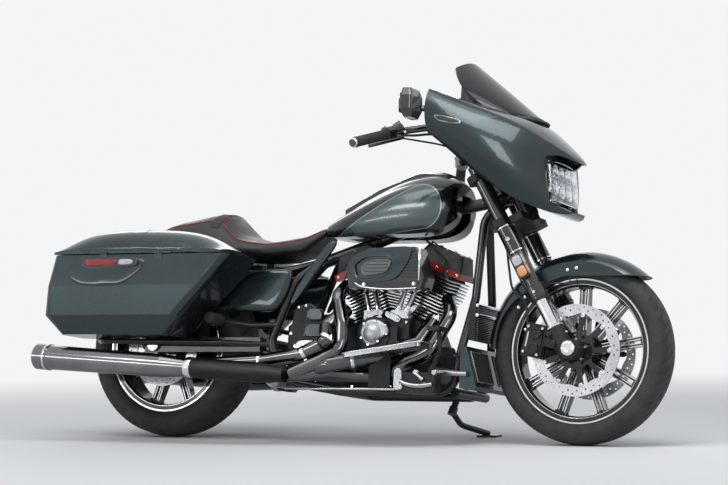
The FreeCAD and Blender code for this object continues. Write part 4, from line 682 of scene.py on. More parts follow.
# Rocker panels and plug wires. A shallow black panel is raised on each rocker lid; below them
# moulded wires with rubber boots push on to the plugs.
raised = Stock()
for tilt in VEE:
    raised.pillow(eased(box(-44, -22, 44, 22)), [(-1, 0), (1.5, 0), (2.5, 2), (2.5, 6)],
                  on_cylinder(tilt) @ lying(472))
raised.piece("rocker_panels", gloss_black, "root", 50)
wires = Stock()
for ahead, foot in ((1, 1120), (-1, 736)):
    for y in (-46, 46):
        start = Vector((foot, y * 1.5, 596))
        boot = start + Vector((ahead * 6, 0, -30))
        wires.turn([(0, 9), (20, 8), (34, 5.5)], boot, (-ahead * 0.25, 0, 1), 14)
        wires.bend([start, start + Vector((-ahead * 2, y * 0.3, 34)), (CRANK_X + ahead * 130, y, 684),
                    (CRANK_X + ahead * 90, y * 0.6, 716)], 4, 10)
wires.piece("plug_wires", moulded_black, "root", 50)

# Pushrod tubes. Thin silver tubes in a vee of pairs, with bright sealing collars at both ends,
# standing in cast tappet blocks that are bolted to the crankcase.
cast_silver = Finish("cast_silver", Metallic=1.0)
cast_silver.worn((0.44, 0.45, 0.46), (0.28, 0.29, 0.30), 14, (0.18, 0.34), 900, 0.08, 0.0003)
dress(cast_silver, "pushrod_tubes")
collars = Stock()
for ahead in (1, -1):
    for k in (-1, 1):
        foot = CRANK_X + ahead * 52
        start = Vector((foot + 17 * k, -125, 440))
        way = Vector((ahead * 44 + 3 * k, 22, 145))
        for share, radius in ((0.09, 12.5), (0.16, 11), (0.62, 10.8), (0.93, 12.5)):
            collar = [(-5, radius - 1), (-4, radius), (4, radius), (5, radius - 1)]
            collars.turn(collar, start + way * share, way, 20)
        collars.bolt((foot + 28 * k, -139, 438), RIGHT, 5, 4)
        collars.bolt((foot + 28 * k, -130, 452), UP, 4, 3)
collars.piece("pushrod_collars", polished, "root")
caps = Stock()
front_cap = [(-138, 0), (-147, 0), (-149, 2), (-149, 7)]
caps.pillow(eased([(846, 414), (902, 438), (918, 434), (918, 452), (900, 458), (842, 434)]), front_cap)
caps.pillow(eased([(952, 418), (984, 406), (990, 428), (934, 452), (926, 440), (930, 430)]), front_cap)
caps.pillow(eased([(988, 448), (1034, 476), (1048, 468), (1012, 434)]),
            [(-112, 0), (-124, 0), (-126, 2), (-126, 6)])
caps.bolts(((856, 428), (900, 447), (942, 440), (978, 420)), -148, RIGHT, 4.6, 4)
caps.bolts(((1036, 468), (1000, 446)), -125, RIGHT, 4.6, 4)
caps.piece("tappet_caps", cast_silver, "root", 40)

# Cam cover. A silver casting on the right of the crank, round behind and pointed ahead, with a
# raised disc in its middle and socket bolts round its rim.
grey_cast = Finish("grey_cast", Metallic=0.9)
grey_cast.worn((0.36, 0.38, 0.40), (0.24, 0.25, 0.27), 14, (0.24, 0.42), 1500, 0.25, 0.0004)
rounded = eased([(844, 366), (850, 392), (872, 414), (900, 419), (928, 411), (952, 392), (957, 370),
                 (940, 356), (922, 348), (912, 330), (890, 323), (862, 332)])
cam = Stock().pillow(rounded, [(-160, 0), (-171, 0), (-173.5, 1), (-175, 4), (-175, 12)])
cam.turn([(0, 33), (3, 33), (4.5, 31), (4.5, 2)], (893, -174, 368), RIGHT, 40)
cam.turn([(0, 24), (2, 24), (2.8, 22.5), (2.8, 2)], (893, -178, 368), RIGHT, 36)
cam.piece("cam_cover_face", grey_cast, "root", 40)

# Case bolts. Bright socket bolts hold the cam cover, the gearbox side, the primary cover with its
# clutch lid, and the sump's covers.
CLUTCH_X, CLUTCH_Z = 752, 312
bolts = Stock()
bolts.bolts(((853, 352), (862, 402), (905, 412), (945, 396), (950, 366), (918, 340), (880, 329)),
            -174.5, RIGHT, 4.6, 4)
bolts.bolts(((846, 312), (1010, 312), (1010, 410), (928, 308), (976, 414)), -141, RIGHT, 5, 5)
bolts.bolts(((578, 466), (606, 472), (660, 436), (682, 384), (682, 328), (568, 326), (550, 372)),
            -128, RIGHT, 5.5, 5)
bolts.bolts(((676, 268), (716, 212), (840, 202), (956, 200), (1026, 248), (1036, 326), (982, 390),
             (878, 412), (786, 412), (704, 408), (674, 366)), 205, LEFT, 5.5, 5)
bolts.bolts([(CLUTCH_X + x, CLUTCH_Z + z) for x, z in spaced(5, 54)], 213, LEFT, 5, 4)
bolts.bolts(((790, 186), (860, 186), (940, 186), (1030, 186), (1066, 230), (1066, 300)), -105, RIGHT, 5, 4)
bolts.bolts(((540, 208), (640, 204), (740, 204)), -96, RIGHT, 5, 4)
bolts.piece("case_bolts", polished, "root")

# Primary cover and gearbox. A long black panel with a clutch lid covers the left side; on the right
# the gearbox carries a silver cap with three ribs and two satin cast blocks.
panels = Stock()
panels.pillow(eased([(672, 262), (716, 214), (958, 204), (1028, 250), (1036, 326), (980, 388), (878, 410),
                     (704, 406), (674, 366)], 3), [(204, 12), (207, 12), (208.5, 14), (208.5, 30)])
panels.turn([(0, 60), (3, 60), (5, 57), (5, 30), (3.5, 28), (3.5, 2)], (CLUTCH_X, 211, CLUTCH_Z), LEFT, 60)
panels.turn([(0, 52), (5, 52), (7, 49), (7, 20)], (CRANK_X, 205, 306), LEFT, 50)
panels.piece("primary_panels", gloss_black, "root", 40)
rings = Stock()
rings.turn(box(0, 61, 4, 66), (CLUTCH_X, 211.5, CLUTCH_Z), LEFT, 60, ring=True)
rings.pillow(eased(box(586, 302, 700, 346), 3), [(-148, 0), (-158, 0), (-162, 2.5), (-162, 12)])
for k in range(3):
    z = 311 + 11 * k
    rings.pillow(eased(box(598, z, 688, z + 5)), [(-161, 0), (-164, 0), (-165, 1)])
rings.piece("case_brights", cast_silver, "root", 40)
satin = Finish("satin_alloy", Metallic=0.9)
satin.worn((0.10, 0.11, 0.115), (0.06, 0.068, 0.072), 16, (0.3, 0.45), 2200, 0.3, 0.0003)
blocks = Stock()
blocks.pillow(eased([(606, 358), (692, 358), (690, 406), (616, 406)]),
              [(-126, 0), (-146, 0), (-149, 3), (-149, 14)])
blocks.pillow(eased([(612, 418), (680, 418), (676, 460), (618, 462)], 3),
              [(-126, 0), (-140, 0), (-144, 3), (-144, 12)])
blocks.bolts(((614, 364), (684, 364), (680, 400), (622, 400)), -148, RIGHT, 4.5, 4)
blocks.bolts(((620, 426), (672, 424), (668, 454)), -143, RIGHT, 4.5, 4)
blocks.piece("gear_blocks", satin, "root", 40)

# Case ribs and oil filter. Cooling ribs are cast on the gearbox's and the sump's flanks, and a
# fluted black filter can is screwed on ahead of the crankcase.
FILTER_Y = -60
ribs = Stock()
for k in range(9):
    z = 206 + 11 * k
    ribs.saw(box(545, z, 562, z + 5), -95, -101, 1)
for k in range(7):
    x = 778 + 34 * k
    ribs.saw(box(x, 178, x + 6, 292), -104, -109, 1)
ribs.turn([(-2, 39.6), (6, 39.6), (8, 37)], (1074, FILTER_Y, 300.3), (0.991, 0, -0.134), 40)
for y, z in spaced(18, 37.4):
    middle = Vector((1142, FILTER_Y + y, 291 + z))
    ribs.bend([middle - Vector((14, 0, -2)), middle + Vector((6, 0, -1))], 2, 6, 1)
ribs.piece("case_ribs", engine_black, "root", 40)

# Air cleaner. A painted cast frame round a black recess with a satin insert, slatted where the air
# goes in, and a bright strip along its foot; bolts hold it to the cylinder heads.
FACE_Y = -225


def window(outer, inner, low, high, shrink):
    """A frame sawn from plate: the outer outline less the inner one, both with as many points."""
    centre = Vector((sum(x for x, _ in inner) / len(inner), sum(z for _, z in inner) / len(inner)))
    rim = [(x + (centre.x - x) * shrink, z + (centre.y - z) * shrink) for x, z in inner]
    skins = ((outer, low), (outer, high), (inner, high), (rim, high - 2), (rim, low))
    return Stock().tube([[(x, y, z) for x, z in line] for line, y in skins], "open")


dress(gloss_black, "air_cleaner")
soften(3, "air_cleaner")
outer = eased([(811, 602), (836, 634), (888, 657), (975, 664), (1066, 666), (1050, 612), (1006, 552),
               (940, 541), (872, 540), (834, 558)])
inner = eased([(840, 600), (853, 613), (880, 630), (930, 635), (984, 634), (996, 610), (972, 564),
               (930, 556), (876, 553), (853, 562)])
frame_piece = window(outer, inner, FACE_Y, FACE_Y - 8, 0.04)
frame_piece.piece("air_cleaner_frame", body_paint, "root", 40, 0.8)
insert = Stock().pillow(eased([(862, 590), (882, 618), (930, 624), (979, 623), (986, 608), (964, 573),
                               (915, 566), (872, 565)]),
                        [(FACE_Y, 0), (-229, 0), (-230.5, 1.5), (-230.5, 9)])
insert.piece("air_cleaner_insert", satin, "root", 40)
slats = Stock()
for k in range(9):
    z = 558 + 11.2 * k
    left = 1012 + (z - 556) * 0.50
    slats.saw([(left, z), (1086, z), (1086, z + 5), (left + 2.4, z + 5)], FACE_Y, -230, 1)
foot_slat = [(846, 548), (880, 532), (1000, 527), (1092, 530), (1092, 544), (1000, 541), (900, 536)]
slats.pillow(eased(foot_slat), [(FACE_Y, 0), (-229, 0), (-230, 1)])
for z in (578, 590, 602, 614):
    slats.saw(box(884, z, 972, z + 2.4), -230, -231.6)
slats.piece("air_cleaner_slats", moulded_black, "root", 40)
shine = Stock()
shine.bend([(846, -228, 540), (870, -229, 527), (920, -229, 520), (982, -229, 517), (1082, -229, 519.5)],
           2.4, 8)
shine.saw([(1089, 546), (1094, 546), (1094, 660), (1088, 660)], FACE_Y, -231, 1)
for x in (1072, 880):
    shine.turn([(0, 7), (4, 7), (5, 5), (5, 2)], (x, -226, 534), RIGHT, 20)
shine.piece("air_cleaner_strip", polished, "root", 50)

# Headlamp. Rows of bright bowls with glass domes in a black housing under the fairing's brow,
# behind one clear moulded cover that bulges forward.
dress(gloss_black, "headlamp")
FACE = Matrix(((0, 0.9949, -0.1007, 1522), (-1, 0, 0, 0), (0, 0.1007, 0.9949, 899), (0, 0, 0, 1)))
toward = FACE.to_3x3() @ LEFT
bowls, domes = Stock(), Stock()
# columns: across, up, radius of each lamp in the housing
for across, up, radius in ((30, 34, 25), (84, 36, 25), (32, -26, 28), (92, -24, 26)):
    for side in (-1, 1):
        spot = FACE @ Vector((across * side, 0, up))
        bowls.turn([(0, radius), (9, radius), (9, radius - 2), (5, radius - 6), (1.5, radius - 12),
                    (1, 0.2)], spot, toward, 40)
        domes.turn([(1, radius - 8), (5, radius - 8.5), (9, radius - 12), (11.5, radius - 17), (12, 0.2)],
                   spot, toward, 32)
for side in (-1, 1):
    for across, low, high in ((58, -52, 62), (122, -40, 56)):
        bowls.saw(box(side * across - 2, low, side * across + 2, high), 0, 7, 1, FACE)
for brow, thick in ((((-112, 4, -66), (-60, 9, -70), (0, 11, -71), (60, 9, -70), (112, 4, -66)), 3.0),
                    (((-128, 3, 66), (-60, 7, 72), (0, 9, 73), (60, 7, 72), (128, 3, 66)), 2)):
    bowls.bend([FACE @ Vector(p) for p in brow], thick, 10)
bowls.piece("headlamp_bowls", polished, "steering", 40)
glass = Finish("lamp_glass", Transmission_Weight=1.0, IOR=1.45)
glass.worn((0.96, 0.98, 1.0), (0.92, 0.95, 0.97), 8, (0.0, 0.012), 30, 0.01, 0.0001)
domes.piece("headlamp_domes", glass, "steering", 60)
cover = Stock()
rows, columns = 15, 25
for i in range(rows):
    v = -1 + 2 * i / (rows - 1)
    wide = 143 - 14 * max(0.0, -v) ** 1.5 - 5 * max(0.0, v) ** 2
    for k in range(columns):
        u = -1 + 2 * k / (columns - 1)
        bulge = 2 + 19 * (1 - abs(u) ** 2.6) * (1 - abs(v) ** 6)
        dip = 4 * abs(u) * max(0.0, -v)
        cover.points.append(FACE @ Vector((wide * u, bulge, 77 * v - dip)))
cover.faces = [[i * columns + k, i * columns + k + 1, (i + 1) * columns + k + 1, (i + 1) * columns + k]
               for i in range(rows - 1) for k in range(columns - 1)]
lens = cover.piece("headlamp_cover", glass, "steering", 60)
lens.modifiers.new("thick", "SOLIDIFY").thickness = 0.002

# Windshield. A smoked moulded screen with a polished edge, held on the fairing by a black moulding
# over a ribbed vent, with black skirts that close its sides down to the fairing.
from mathutils.bvhtree import BVHTree

smoked = Finish("smoked", Transmission_Weight=0.35, IOR=1.45)
smoked.worn((0.010, 0.014, 0.016), (0.014, 0.018, 0.020), 3, (0.03, 0.1), 400, 0.02, 0.0002)
dress(smoked, "windshield")
# columns: x and z in a bow's middle, half its width, how far its ends fall back, how far they drop
FOOT_BOW = (1434, 1130, 168, 116, -8)
SIDE_FOOT = (1432, 1131, 168, 118, -6)
SIDE_WAIST = (1304, 1237, 182, 84, 22)
HEAD_BOW = (1178, 1338, 119, 26, 34)
SIDE_SHARE = 0.985


def bow(x, z, half, back, drop, share):
    """A point on the screen's bowed edge; share runs from -1 at the right to 1 at the left."""
    return (x - back * share * share, half * share, z - drop * share * share)


trim, bead = Stock(), Stock()
foot_line = [bow(*FOOT_BOW, k / 8) for k in range(-8, 9)]
trim.bend(foot_line, [3.5] + [6.5] * 15 + [3.5], 10, 3)
trim.bend([(x + 20, y * 0.97, z - 9) for x, y, z in foot_line[1:-1]], [3] + [5] * 13 + [3], 10, 3)
for k in range(-9, 10):
    x, y, z = bow(*FOOT_BOW, k / 12)
    trim.bend([(x, y, z + 1), (x + 20, y * 0.97, z - 6)], 2.2, 6, 2)
trim.piece("shield_trim", moulded_black, "steering", 60)
bead.bend([bow(*HEAD_BOW, k / 6) for k in range(-6, 7)], 2.0, 8, 3)
STAND_BACK = STAND.inverted()
DOWN = Vector((0, 0, -1))


def skin(mesh, back):
    """A mesh that rays can be cast on, carried back to the upright bike's millimetres."""
    return BVHTree.FromPolygons([back @ v.co for v in mesh.vertices], [p.vertices[:] for p in mesh.polygons])


skirt = Stock()
fairing = bpy.data.objects["fairing_outer"]
under = skin(fairing.data, STAND_BACK @ fairing.matrix_world)
for side in (-1, 1):
    foot, waist = (Vector(bow(*line, side * SIDE_SHARE)) for line in (SIDE_FOOT, SIDE_WAIST))
    head = Vector(bow(*HEAD_BOW, side))
    bead.bend([foot, waist, head], 2.2, 8, 10)
    inward = Vector((0, -3 * side, 0))
    edge = [foot.lerp(waist, k / 12) for k in range(13)] + [waist.lerp(head, k / 12) for k in range(1, 6)]
    rings = []
    for spot in edge:
        hit = under.ray_cast(Vector((spot.x, spot.y + side * 4, 1400)), DOWN)[0]
        low = (hit if hit else Vector((spot.x, spot.y, 1196))) + 2 * DOWN
        spot = spot + UP
        rings.append([spot, spot + inward, low + inward, low])
    skirt.tube(rings)
bead.piece("shield_edge", gloss_black, "steering", 60)
skirt.piece("shield_skirts", moulded_black, "steering", 40)


# Fairing vents. A slim black vent with a bright cast lip is let into each flank of the fairing, and
# follows the flank's own curve.
def on_flank(made, outline, side, lifts):
    """Lays a plate on a piece's flank: lifts are (how proud it stands, how far it is drawn in)."""
    tree = skin(made.data, STAND_BACK @ made.matrix_world)
    plate = Stock().pillow(outline, [(k, drawn) for k, (_, drawn) in enumerate(lifts)])
    for p in plate.points:
        spot = tree.ray_cast(Vector((p.x, side * 900, p.z)), RIGHT * side)[0]
        p.y = (spot.y if spot else side * 350) + side * lifts[round(p.y)][0]
    return plate


for side, name in ((-1, "right"), (1, "left")):
    lip = on_flank(fairing, eased([(1188, 1100), (1278, 1083), (1280, 1064), (1202, 1074)]), side,
                   [(-2, 0), (1.5, 0), (2.5, 1.5), (2.5, 3), (0.6, 4)])
    lip.piece("fairing_vent_lip_" + name, grey_cast, "steering", 40)
    slot = on_flank(fairing, eased([(1196, 1094), (1270, 1080), (1272, 1070), (1206, 1079)]), side,
                    [(-1, 0), (2.7, 0), (2.9, 2)])
    slot.piece("fairing_vent_" + name, moulded_black, "steering", 40)

# Seat. Foam on a moulded base under stitched black vinyl: a deep rider's bucket and a pillion pad
# behind its bolster. The cover is held down at its seams and the foam swells between them.
from mathutils.kdtree import KDTree

# columns: distance ahead of the rear axle, how far out the seam lies there
PILLION_SEAM = [(-44, 70), (-30, 92), (31, 112), (120, 116), (200, 115), (236, 113)]
RIDER_SEAM = [(236, 113), (262, 124), (306, 142), (365, 148), (430, 142), (507, 110), (570, 74), (636, 38)]
BOLSTER_SEAM = [(392, 112), (380, 60), (376, 0), (380, -60), (392, -112)]
MOST_SWELL = 0.009


def settled(made):
    """Works a piece's modifiers into its mesh."""
    bpy.context.view_layer.update()
    mesh = bpy.data.meshes.new_from_object(made.evaluated_get(bpy.context.evaluated_depsgraph_get()))
    made.modifiers.clear()
    made.data = mesh


def laid_on(made, route, lift=0.0, gap=9.0):
    """Follows a plan route of (x, y) over the top of a piece, in the upright bike's millimetres."""
    tree = skin(made.data, STAND_BACK)
    line = []
    for (ax, ay), (bx, by) in zip(route, route[1:]):
        parts = max(1, round(math.hypot(bx - ax, by - ay) / gap))
        for k in range(parts):
            t = k / parts
            above = Vector((ax + (bx - ax) * t, ay + (by - ay) * t, 1000))
            spot, normal = tree.ray_cast(above, DOWN)[:2]
            if spot:
                line.append(spot + normal * lift)
    return line


other_side = [(x, -y) for x, y in reversed(PILLION_SEAM)]
pillion_loop = PILLION_SEAM + other_side + PILLION_SEAM[:1]
seams = [pillion_loop, RIDER_SEAM, [(x, -y) for x, y in RIDER_SEAM], BOLSTER_SEAM]
shell = bpy.data.objects["seat"]
foam = bpy.data.meshes.new_from_object(shell)
foam.transform(shell.matrix_world)
cushion = bpy.data.objects.new("seat_cushion", foam)
bpy.context.collection.objects.link(cushion)
cushion.modifiers.new("even", "REMESH").voxel_size = 0.0062
calm = cushion.modifiers.new("calm", "SMOOTH")
calm.factor, calm.iterations = 0.6, 22
settled(cushion)
for v, normal in zip(cushion.data.vertices, [v.normal.copy() for v in cushion.data.vertices]):
    v.co -= normal * 0.004
start = [v.co.copy() for v in cushion.data.vertices]
held_spots = [p for route in seams for p in laid_on(cushion, route)]
held = KDTree(len(held_spots))
for i, spot in enumerate(held_spots):
    held.insert(spot, i)
held.balance()
group = cushion.vertex_groups.new(name="held")
for v in cushion.data.vertices:
    near = held.find(STAND_BACK @ v.co)[2]
    group.add([v.index], 1.0 if near < 6 or v.normal.z < -0.4 else max(0.0, 0.35 - near / 60), "REPLACE")
swell = cushion.modifiers.new("swell", "CLOTH")
swell.settings.vertex_group_mass = "held"
swell.settings.use_pressure = True
swell.settings.uniform_pressure_force = 4
swell.settings.quality = 4
swell.settings.effector_weights.gravity = 0
swell.point_cache.frame_start, swell.point_cache.frame_end = 1, 20
for frame_number in range(1, 21):
    scene.frame_set(frame_number)
settled(cushion)
scene.frame_set(1)
for v, before in zip(cushion.data.vertices, start):
    moved = v.co - before
    if moved.length > 1e-6:
        v.co = before + moved.normalized() * MOST_SWELL * math.tanh(moved.length / MOST_SWELL)
cushion.data.polygons.foreach_set("use_smooth", [True] * len(cushion.data.polygons))
cushion.modifiers.new("fine", "SUBSURF").levels = 1
seat_cover = Finish("seat_cover")
seat_cover.worn((0.010, 0.010, 0.011), (0.020, 0.020, 0.021), 8, (0.36, 0.56), 420, 0.35, 0.0006)
dress(seat_cover, "seat", "seat_cushion")
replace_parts(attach(cushion, "root"), "seat")

# Piping and stitches. Red vinyl piping is sewn in round both panels, with a row of pale stitches
# just inside it.
piping, stitches = Stock(), Stock()
for route in seams[:3]:
    piping.bend(laid_on(cushion, route, 0.6), 2.2, 8, 2)
    inner = [(x, y - math.copysign(9, y)) for x, y in route if abs(y) > 30]
    spots = laid_on(cushion, inner, 0.4, 5)
    for a, b in zip(spots[::2], spots[1::2]):
        if (a - b).length < 12:
            stitches.bend([a, b], 0.7, 5, 1)
red_vinyl = Finish("red_vinyl")
red_vinyl.worn((0.33, 0.012, 0.010), (0.22, 0.008, 0.007), 30, (0.35, 0.55), 900, 0.3, 0.0004)
piping.piece("seat_piping", red_vinyl, "root", 60)
thread = Finish("thread")
thread.worn((0.10, 0.10, 0.10), (0.05, 0.05, 0.05), 60, (0.6, 0.8), 2600, 0.5, 0.0004)
stitches.piece("seat_stitches", thread, "root", 60)

# Strap. A woven web strap crosses the pillion pad as a handhold, tucked under the seat at both
# sides.
STRAP_X, STRAP_HALF, STRAP_THICK = 214, 18, Vector((0, 0, 2.6))
rear, ahead = (laid_on(cushion, [(STRAP_X + off, y) for y in range(-136, 137, 8)], 0.6, 8)
               for off in (-STRAP_HALF, STRAP_HALF))
strap = Stock().tube([[a, b, b + STRAP_THICK, a + STRAP_THICK] for a, b in zip(rear, ahead)])
webbing = Finish("webbing")
webbing.worn((0.018, 0.018, 0.019), (0.032, 0.032, 0.033), 50, (0.65, 0.85), 1500, 0.6, 0.0006)
strap.piece("seat_strap", webbing, "root", 40, 0.8)

# Exhaust. Black-chromed steel: each header wears a heat shield held by band clamps, and the
# silencers have a collar where the pipe enters and a rolled lip round the open end.
dark_chrome = Finish("dark_chrome", Metallic=1.0)
dark_chrome.worn((0.15, 0.15, 0.155), (0.10, 0.10, 0.105), 7, (0.06, 0.2), 500, 0.03, 0.0002)
dress(dark_chrome, "exhaust_pipes")
REAR_HEADER = [(748, -99, 545), (752, -175, 500), (790, -208, 400), (803, -236, 312), (776, -270, 284),
               (674, -314, 266), (512, -331, 254), (262, -331, 238)]
FRONT_HEADER = [(1128, -63, 500), (1166, -113, 440), (1116, -179, 300), (940, -181, 218), (760, -203, 218),
                (640, -233, 226)]


def elbows(path, bend):
    """A pipe's centre line: straight runs joined by round bends."""
    path = [Vector(p) for p in path]
    line = [path[0]]
    for before, corner, after in zip(path, path[1:], path[2:]):
        a, b = (before - corner).normalized(), (after - corner).normalized()
        half = a.angle(b) / 2
        cut = min(bend / math.tan(half), (before - corner).length * 0.49, (after - corner).length * 0.49)
        centre = corner + (a + b).normalized() * (cut / math.cos(half))
        for k in range(9):
            line.append(centre + (corner + a * cut - centre).slerp(corner + b * cut - centre, k / 8))
    return line + [path[-1]]


def stretch(line, start, end):
    """The part of a line from one distance along it to another."""
    run, gone = [], 0.0
    for a, b in zip(line, line[1:]):
        length = (b - a).length
        steps = max(1, round(length / 14))
        for k in range(steps):
            if start <= gone + length * k / steps <= end:
                run.append(a.lerp(b, k / steps))
        gone += length
    return run


shields, bands, screws = Stock(), Stock(), Stock()
# columns: header, bend, where its shield starts and ends, its clamps as shares of the shield
for header, bend, begin, finish_at, clamps in ((REAR_HEADER, 60, 90, 985, (0.03, 0.28, 0.5, 0.75)),
                                               (FRONT_HEADER, 70, 90, 690, (0.04, 0.35, 0.66, 0.97))):
    run = stretch(elbows(header, bend), begin, finish_at)
    shields.bend(run, [25.5] + [27.2] * (len(run) - 2) + [25.5], 28, 1)
    for clamp in clamps:
        at = round(clamp * (len(run) - 2))
        way = run[at + 1] - run[at]
        bands.turn(box(-6, 27, 6, 28.2), run[at], way, 36, ring=True)
        out = way.cross(UP).normalized()
        out = out if out.y < 0 else -out
        screws.turn([(-9, 3.6), (9, 3.6), (9, 2), (12, 2)], run[at] + out * 29 + 4 * UP, UP, 10)
shields.piece("header_shields", dark_chrome, "root", 60)
bands.piece("header_clamps", polished, "root", 50)
screws.piece("clamp_screws", polished, "root", 50)

# Silencers. Chromed steel barrels, dulled black where the hot pipes enter, with bright rings at
# both ends and a sooty perforated core inside the mouth.
silencer_chrome = Finish("silencer_chrome", Metallic=1.0)
silencer_chrome.worn((0.24, 0.24, 0.245), (0.17, 0.17, 0.175), 7, (0.06, 0.18), 500, 0.03, 0.0002)
NECK_START, NECK_END = 0.262, 0.266
neck = silencer_chrome.span(silencer_chrome.upright()[0], NECK_START, NECK_END)
shine, smooth = silencer_chrome.given("Base Color"), silencer_chrome.given("Roughness")
silencer_chrome.give(Base_Color=silencer_chrome.mix(neck, shine, (0.035, 0.034, 0.034)),
                     Roughness=silencer_chrome.maths("MULTIPLY_ADD", neck, 0.32, smooth))
dress(silencer_chrome, "mufflers")
lips, cores = Stock(), Stock()
for side in (-1, 1):
    tip, way = Vector((-395, 330 * side, 269)), Vector((1, 0, -0.0575)).normalized()
    for rows, steps in (([(-1, 34.5), (-3, 37), (-2.4, 40), (0, 41.2), (4, 41.6), (5, 34.5)], 56),
                        ([(46, 45), (46, 47.4), (49, 48), (53, 48), (56, 47.4), (56, 45)], 56),
                        ([(640, 33), (640, 36), (644, 38), (662, 38), (666, 36.6), (666, 33)], 48)):
        lips.turn(rows, tip, way, steps, ring=True)
    cores.turn([(3, 34), (60, 33.2), (60, 22), (6, 22.8), (3, 25)], tip, way, 40, ring=True)
lips.piece("silencer_collars", polished, "root", 40)
soot = Finish("soot", Metallic=0.3)
soot.worn((0.012, 0.012, 0.012), (0.03, 0.028, 0.026), 30, (0.6, 0.85), 900, 0.5, 0.0006)
cores.piece("silencer_cores", soot, "root", 40)

# Fork. Black stanchion covers over bright sliders; the feet clamp the hollow axle, rubber wipers
# seal the sliders, and bright rings and bolts hold the covers.
FORK = Matrix.Translation((1601.7, 0, 308.7)) @ Matrix.Rotation(math.radians(-29.25), 4, "Y")
FORK_TURN = FORK.to_3x3()
LEG_Y = 118


def leg(along, forward, y):
    """A point at a distance up the fork, ahead of a leg's middle and out from the bike's."""
    return FORK @ Vector((forward, y, along))


dress(polished, "fork_sliders", "rear_axle", "front_axle")
dress(gloss_black, "fork_outer_tubes", "fork_covers")
dress(engine_black, "fork_feet", "fork_yokes")
soften(1.5, "fork_feet", "fork_yokes")
seals, bright, dark = Stock(), Stock(), Stock()
for side in (-1, 1):
    y, out = LEG_Y * side, LEFT * side
    middle, fork_way = leg(0, 0, y), FORK_TURN @ UP
    wiper = [(201, 23.4), (201, 28), (206, 30.5), (212, 30.5), (212, 23.4)]
    seals.turn(wiper, middle, fork_way, 40, ring=True)
    for at in (214, 253):
        seals.turn(box(at, 32, at + 4, 34.4), middle, fork_way, 44, ring=True)
    for at in (391, 488):
        bright.turn(box(at, 31, at + 4, 33), middle, fork_way, 44, ring=True)
    bright.turn([(93, 22), (93, 32), (98, 32), (100, 30), (100, 22)], middle, fork_way, 44, ring=True)
    bright.bolt(leg(442, 0, y) + out * 31, out, 9, 6)
    bright.bolt(leg(233, 0, y) + out * 32, out, 6, 4)
    axle_end = (WHEEL_X, 159 * side, WHEEL_Z)
    bright.turn([(-1, 20), (5, 20), (7, 18), (7, 13), (2, 12), (2, 3)], axle_end, out, 6)
    bright.turn([(-1, 24.5), (0.6, 24.5), (1.6, 23)], axle_end, out, 40)
    for at in (-6, 24, 62):
        bright.bolt(leg(at, 30, y), FORK_TURN @ AHEAD, 4.6, 5)
    for at in (44, 78):
        dark.turn([(-32, 10), (32, 10)], leg(at, -20, y), out, 20)
        dark.turn([(32, 10), (34, 8), (34, 4)], leg(at, -20, y), out, 20)
seals.piece("fork_seals", moulded_black, "steering", 50)
dark.piece("foot_bosses", engine_black, "steering", 50)

# Calipers. Ribbed black castings bolted to the fork's feet, with two piston bosses a side, a pad
# pin, and a banjo from which a braided hose climbs inside the leg to the yoke.
CALIPER_ANGLE = math.radians(-168)
caliper = Matrix.Translation((WHEEL_X, 0, WHEEL_Z)) @ Matrix.Rotation(CALIPER_ANGLE, 4, "Y")
caliper_turn = caliper.to_3x3()
dress(engine_black, "front_calipers", "rear_caliper")
soften(1.5, "front_calipers")
ribs, hoses = Stock(), Stock()
for side in (-1, 1):
    out = LEFT * side
    ribs.pillow(eased([(118, -52), (180, -52), (184, -20), (184, 20), (180, 52), (118, 52)]),
                [(103, 0), (107, 0), (109, 2), (109, 8)], caliper @ Matrix.Diagonal((1, side, 1, 1)))
    for z in (-27, 27):
        ribs.turn([(0, 22), (5, 22), (7, 20), (7, 12), (5, 11), (5, 1)],
                  caliper @ Vector((146, 108 * side, z)), out, 32)
    for x, z in ((176, -44), (176, 44), (124, -46), (124, 46)):
        bright.bolt(caliper @ Vector((x, 108.5 * side, z)), out, 5.5, 5)
    bright.turn([(-26, 4), (26, 4)], caliper @ Vector((172, 109 * side, 0)), caliper_turn @ UP, 10)
    banjo = caliper @ Vector((183, 96 * side, -30))
    bright.turn([(-1, 8), (6, 8), (6, 5), (11, 5)], banjo, caliper_turn @ AHEAD, 16)
    hoses.bend([banjo + 4 * UP, (1440, 104 * side, 478), (1392, 104 * side, 524), (1372, 98 * side, 600),
                (1350, 88 * side, 700), leg(560, -34, 62 * side)], 4.2, 10)
    hoses.bend([leg(236, -33, 112 * side), leg(300, -38, 104 * side), leg(420, -40, 92 * side),
                leg(540, -36, 70 * side)], 3.2, 8)
ribs.piece("caliper_covers", engine_black, "steering", 40)
bright.piece("fork_brights", polished, "steering", 40)
hoses.piece("brake_hoses", moulded_black, "steering", 60)

# Turn lamps. Black moulded housings clamped on the legs, each with a clear lens above an amber one
# on its front and on its outer side.
dress(gloss_black, "fork_lamps")
soften(1.5, "fork_lamps")
clear_lens, amber_lens = Stock(), Stock()
for side in (-1, 1):
    out = FORK @ Matrix.Diagonal((1, side, 1, 1))
    front = FORK @ Matrix(((0, 1, 0, 19), (side, 0, 0, 157 * side), (0, 0, 1, 0), (0, 0, 0, 1)))
    for lens, low, high in ((clear_lens, 336, 371), (amber_lens, 294, 330)):
        for plate, half, face in ((out, 16, 169), (front, 10, 0)):
            lens.pillow(eased(box(-half, low, half, high)),
                        [(face - 2, 0), (face + 1, 0), (face + 2.6, 2.5), (face + 3, 7)], plate)
lens_clear = Finish("lens_clear")
lens_clear.worn((0.55, 0.56, 0.58), (0.4, 0.4, 0.42), 30, (0.06, 0.16), 300, 0.2, 0.0005)
amber = Finish("amber", Coat_Weight=0.6)
amber.worn((0.72, 0.34, 0.16), (0.60, 0.24, 0.10), 40, (0.08, 0.18), 500, 0.3, 0.0006)
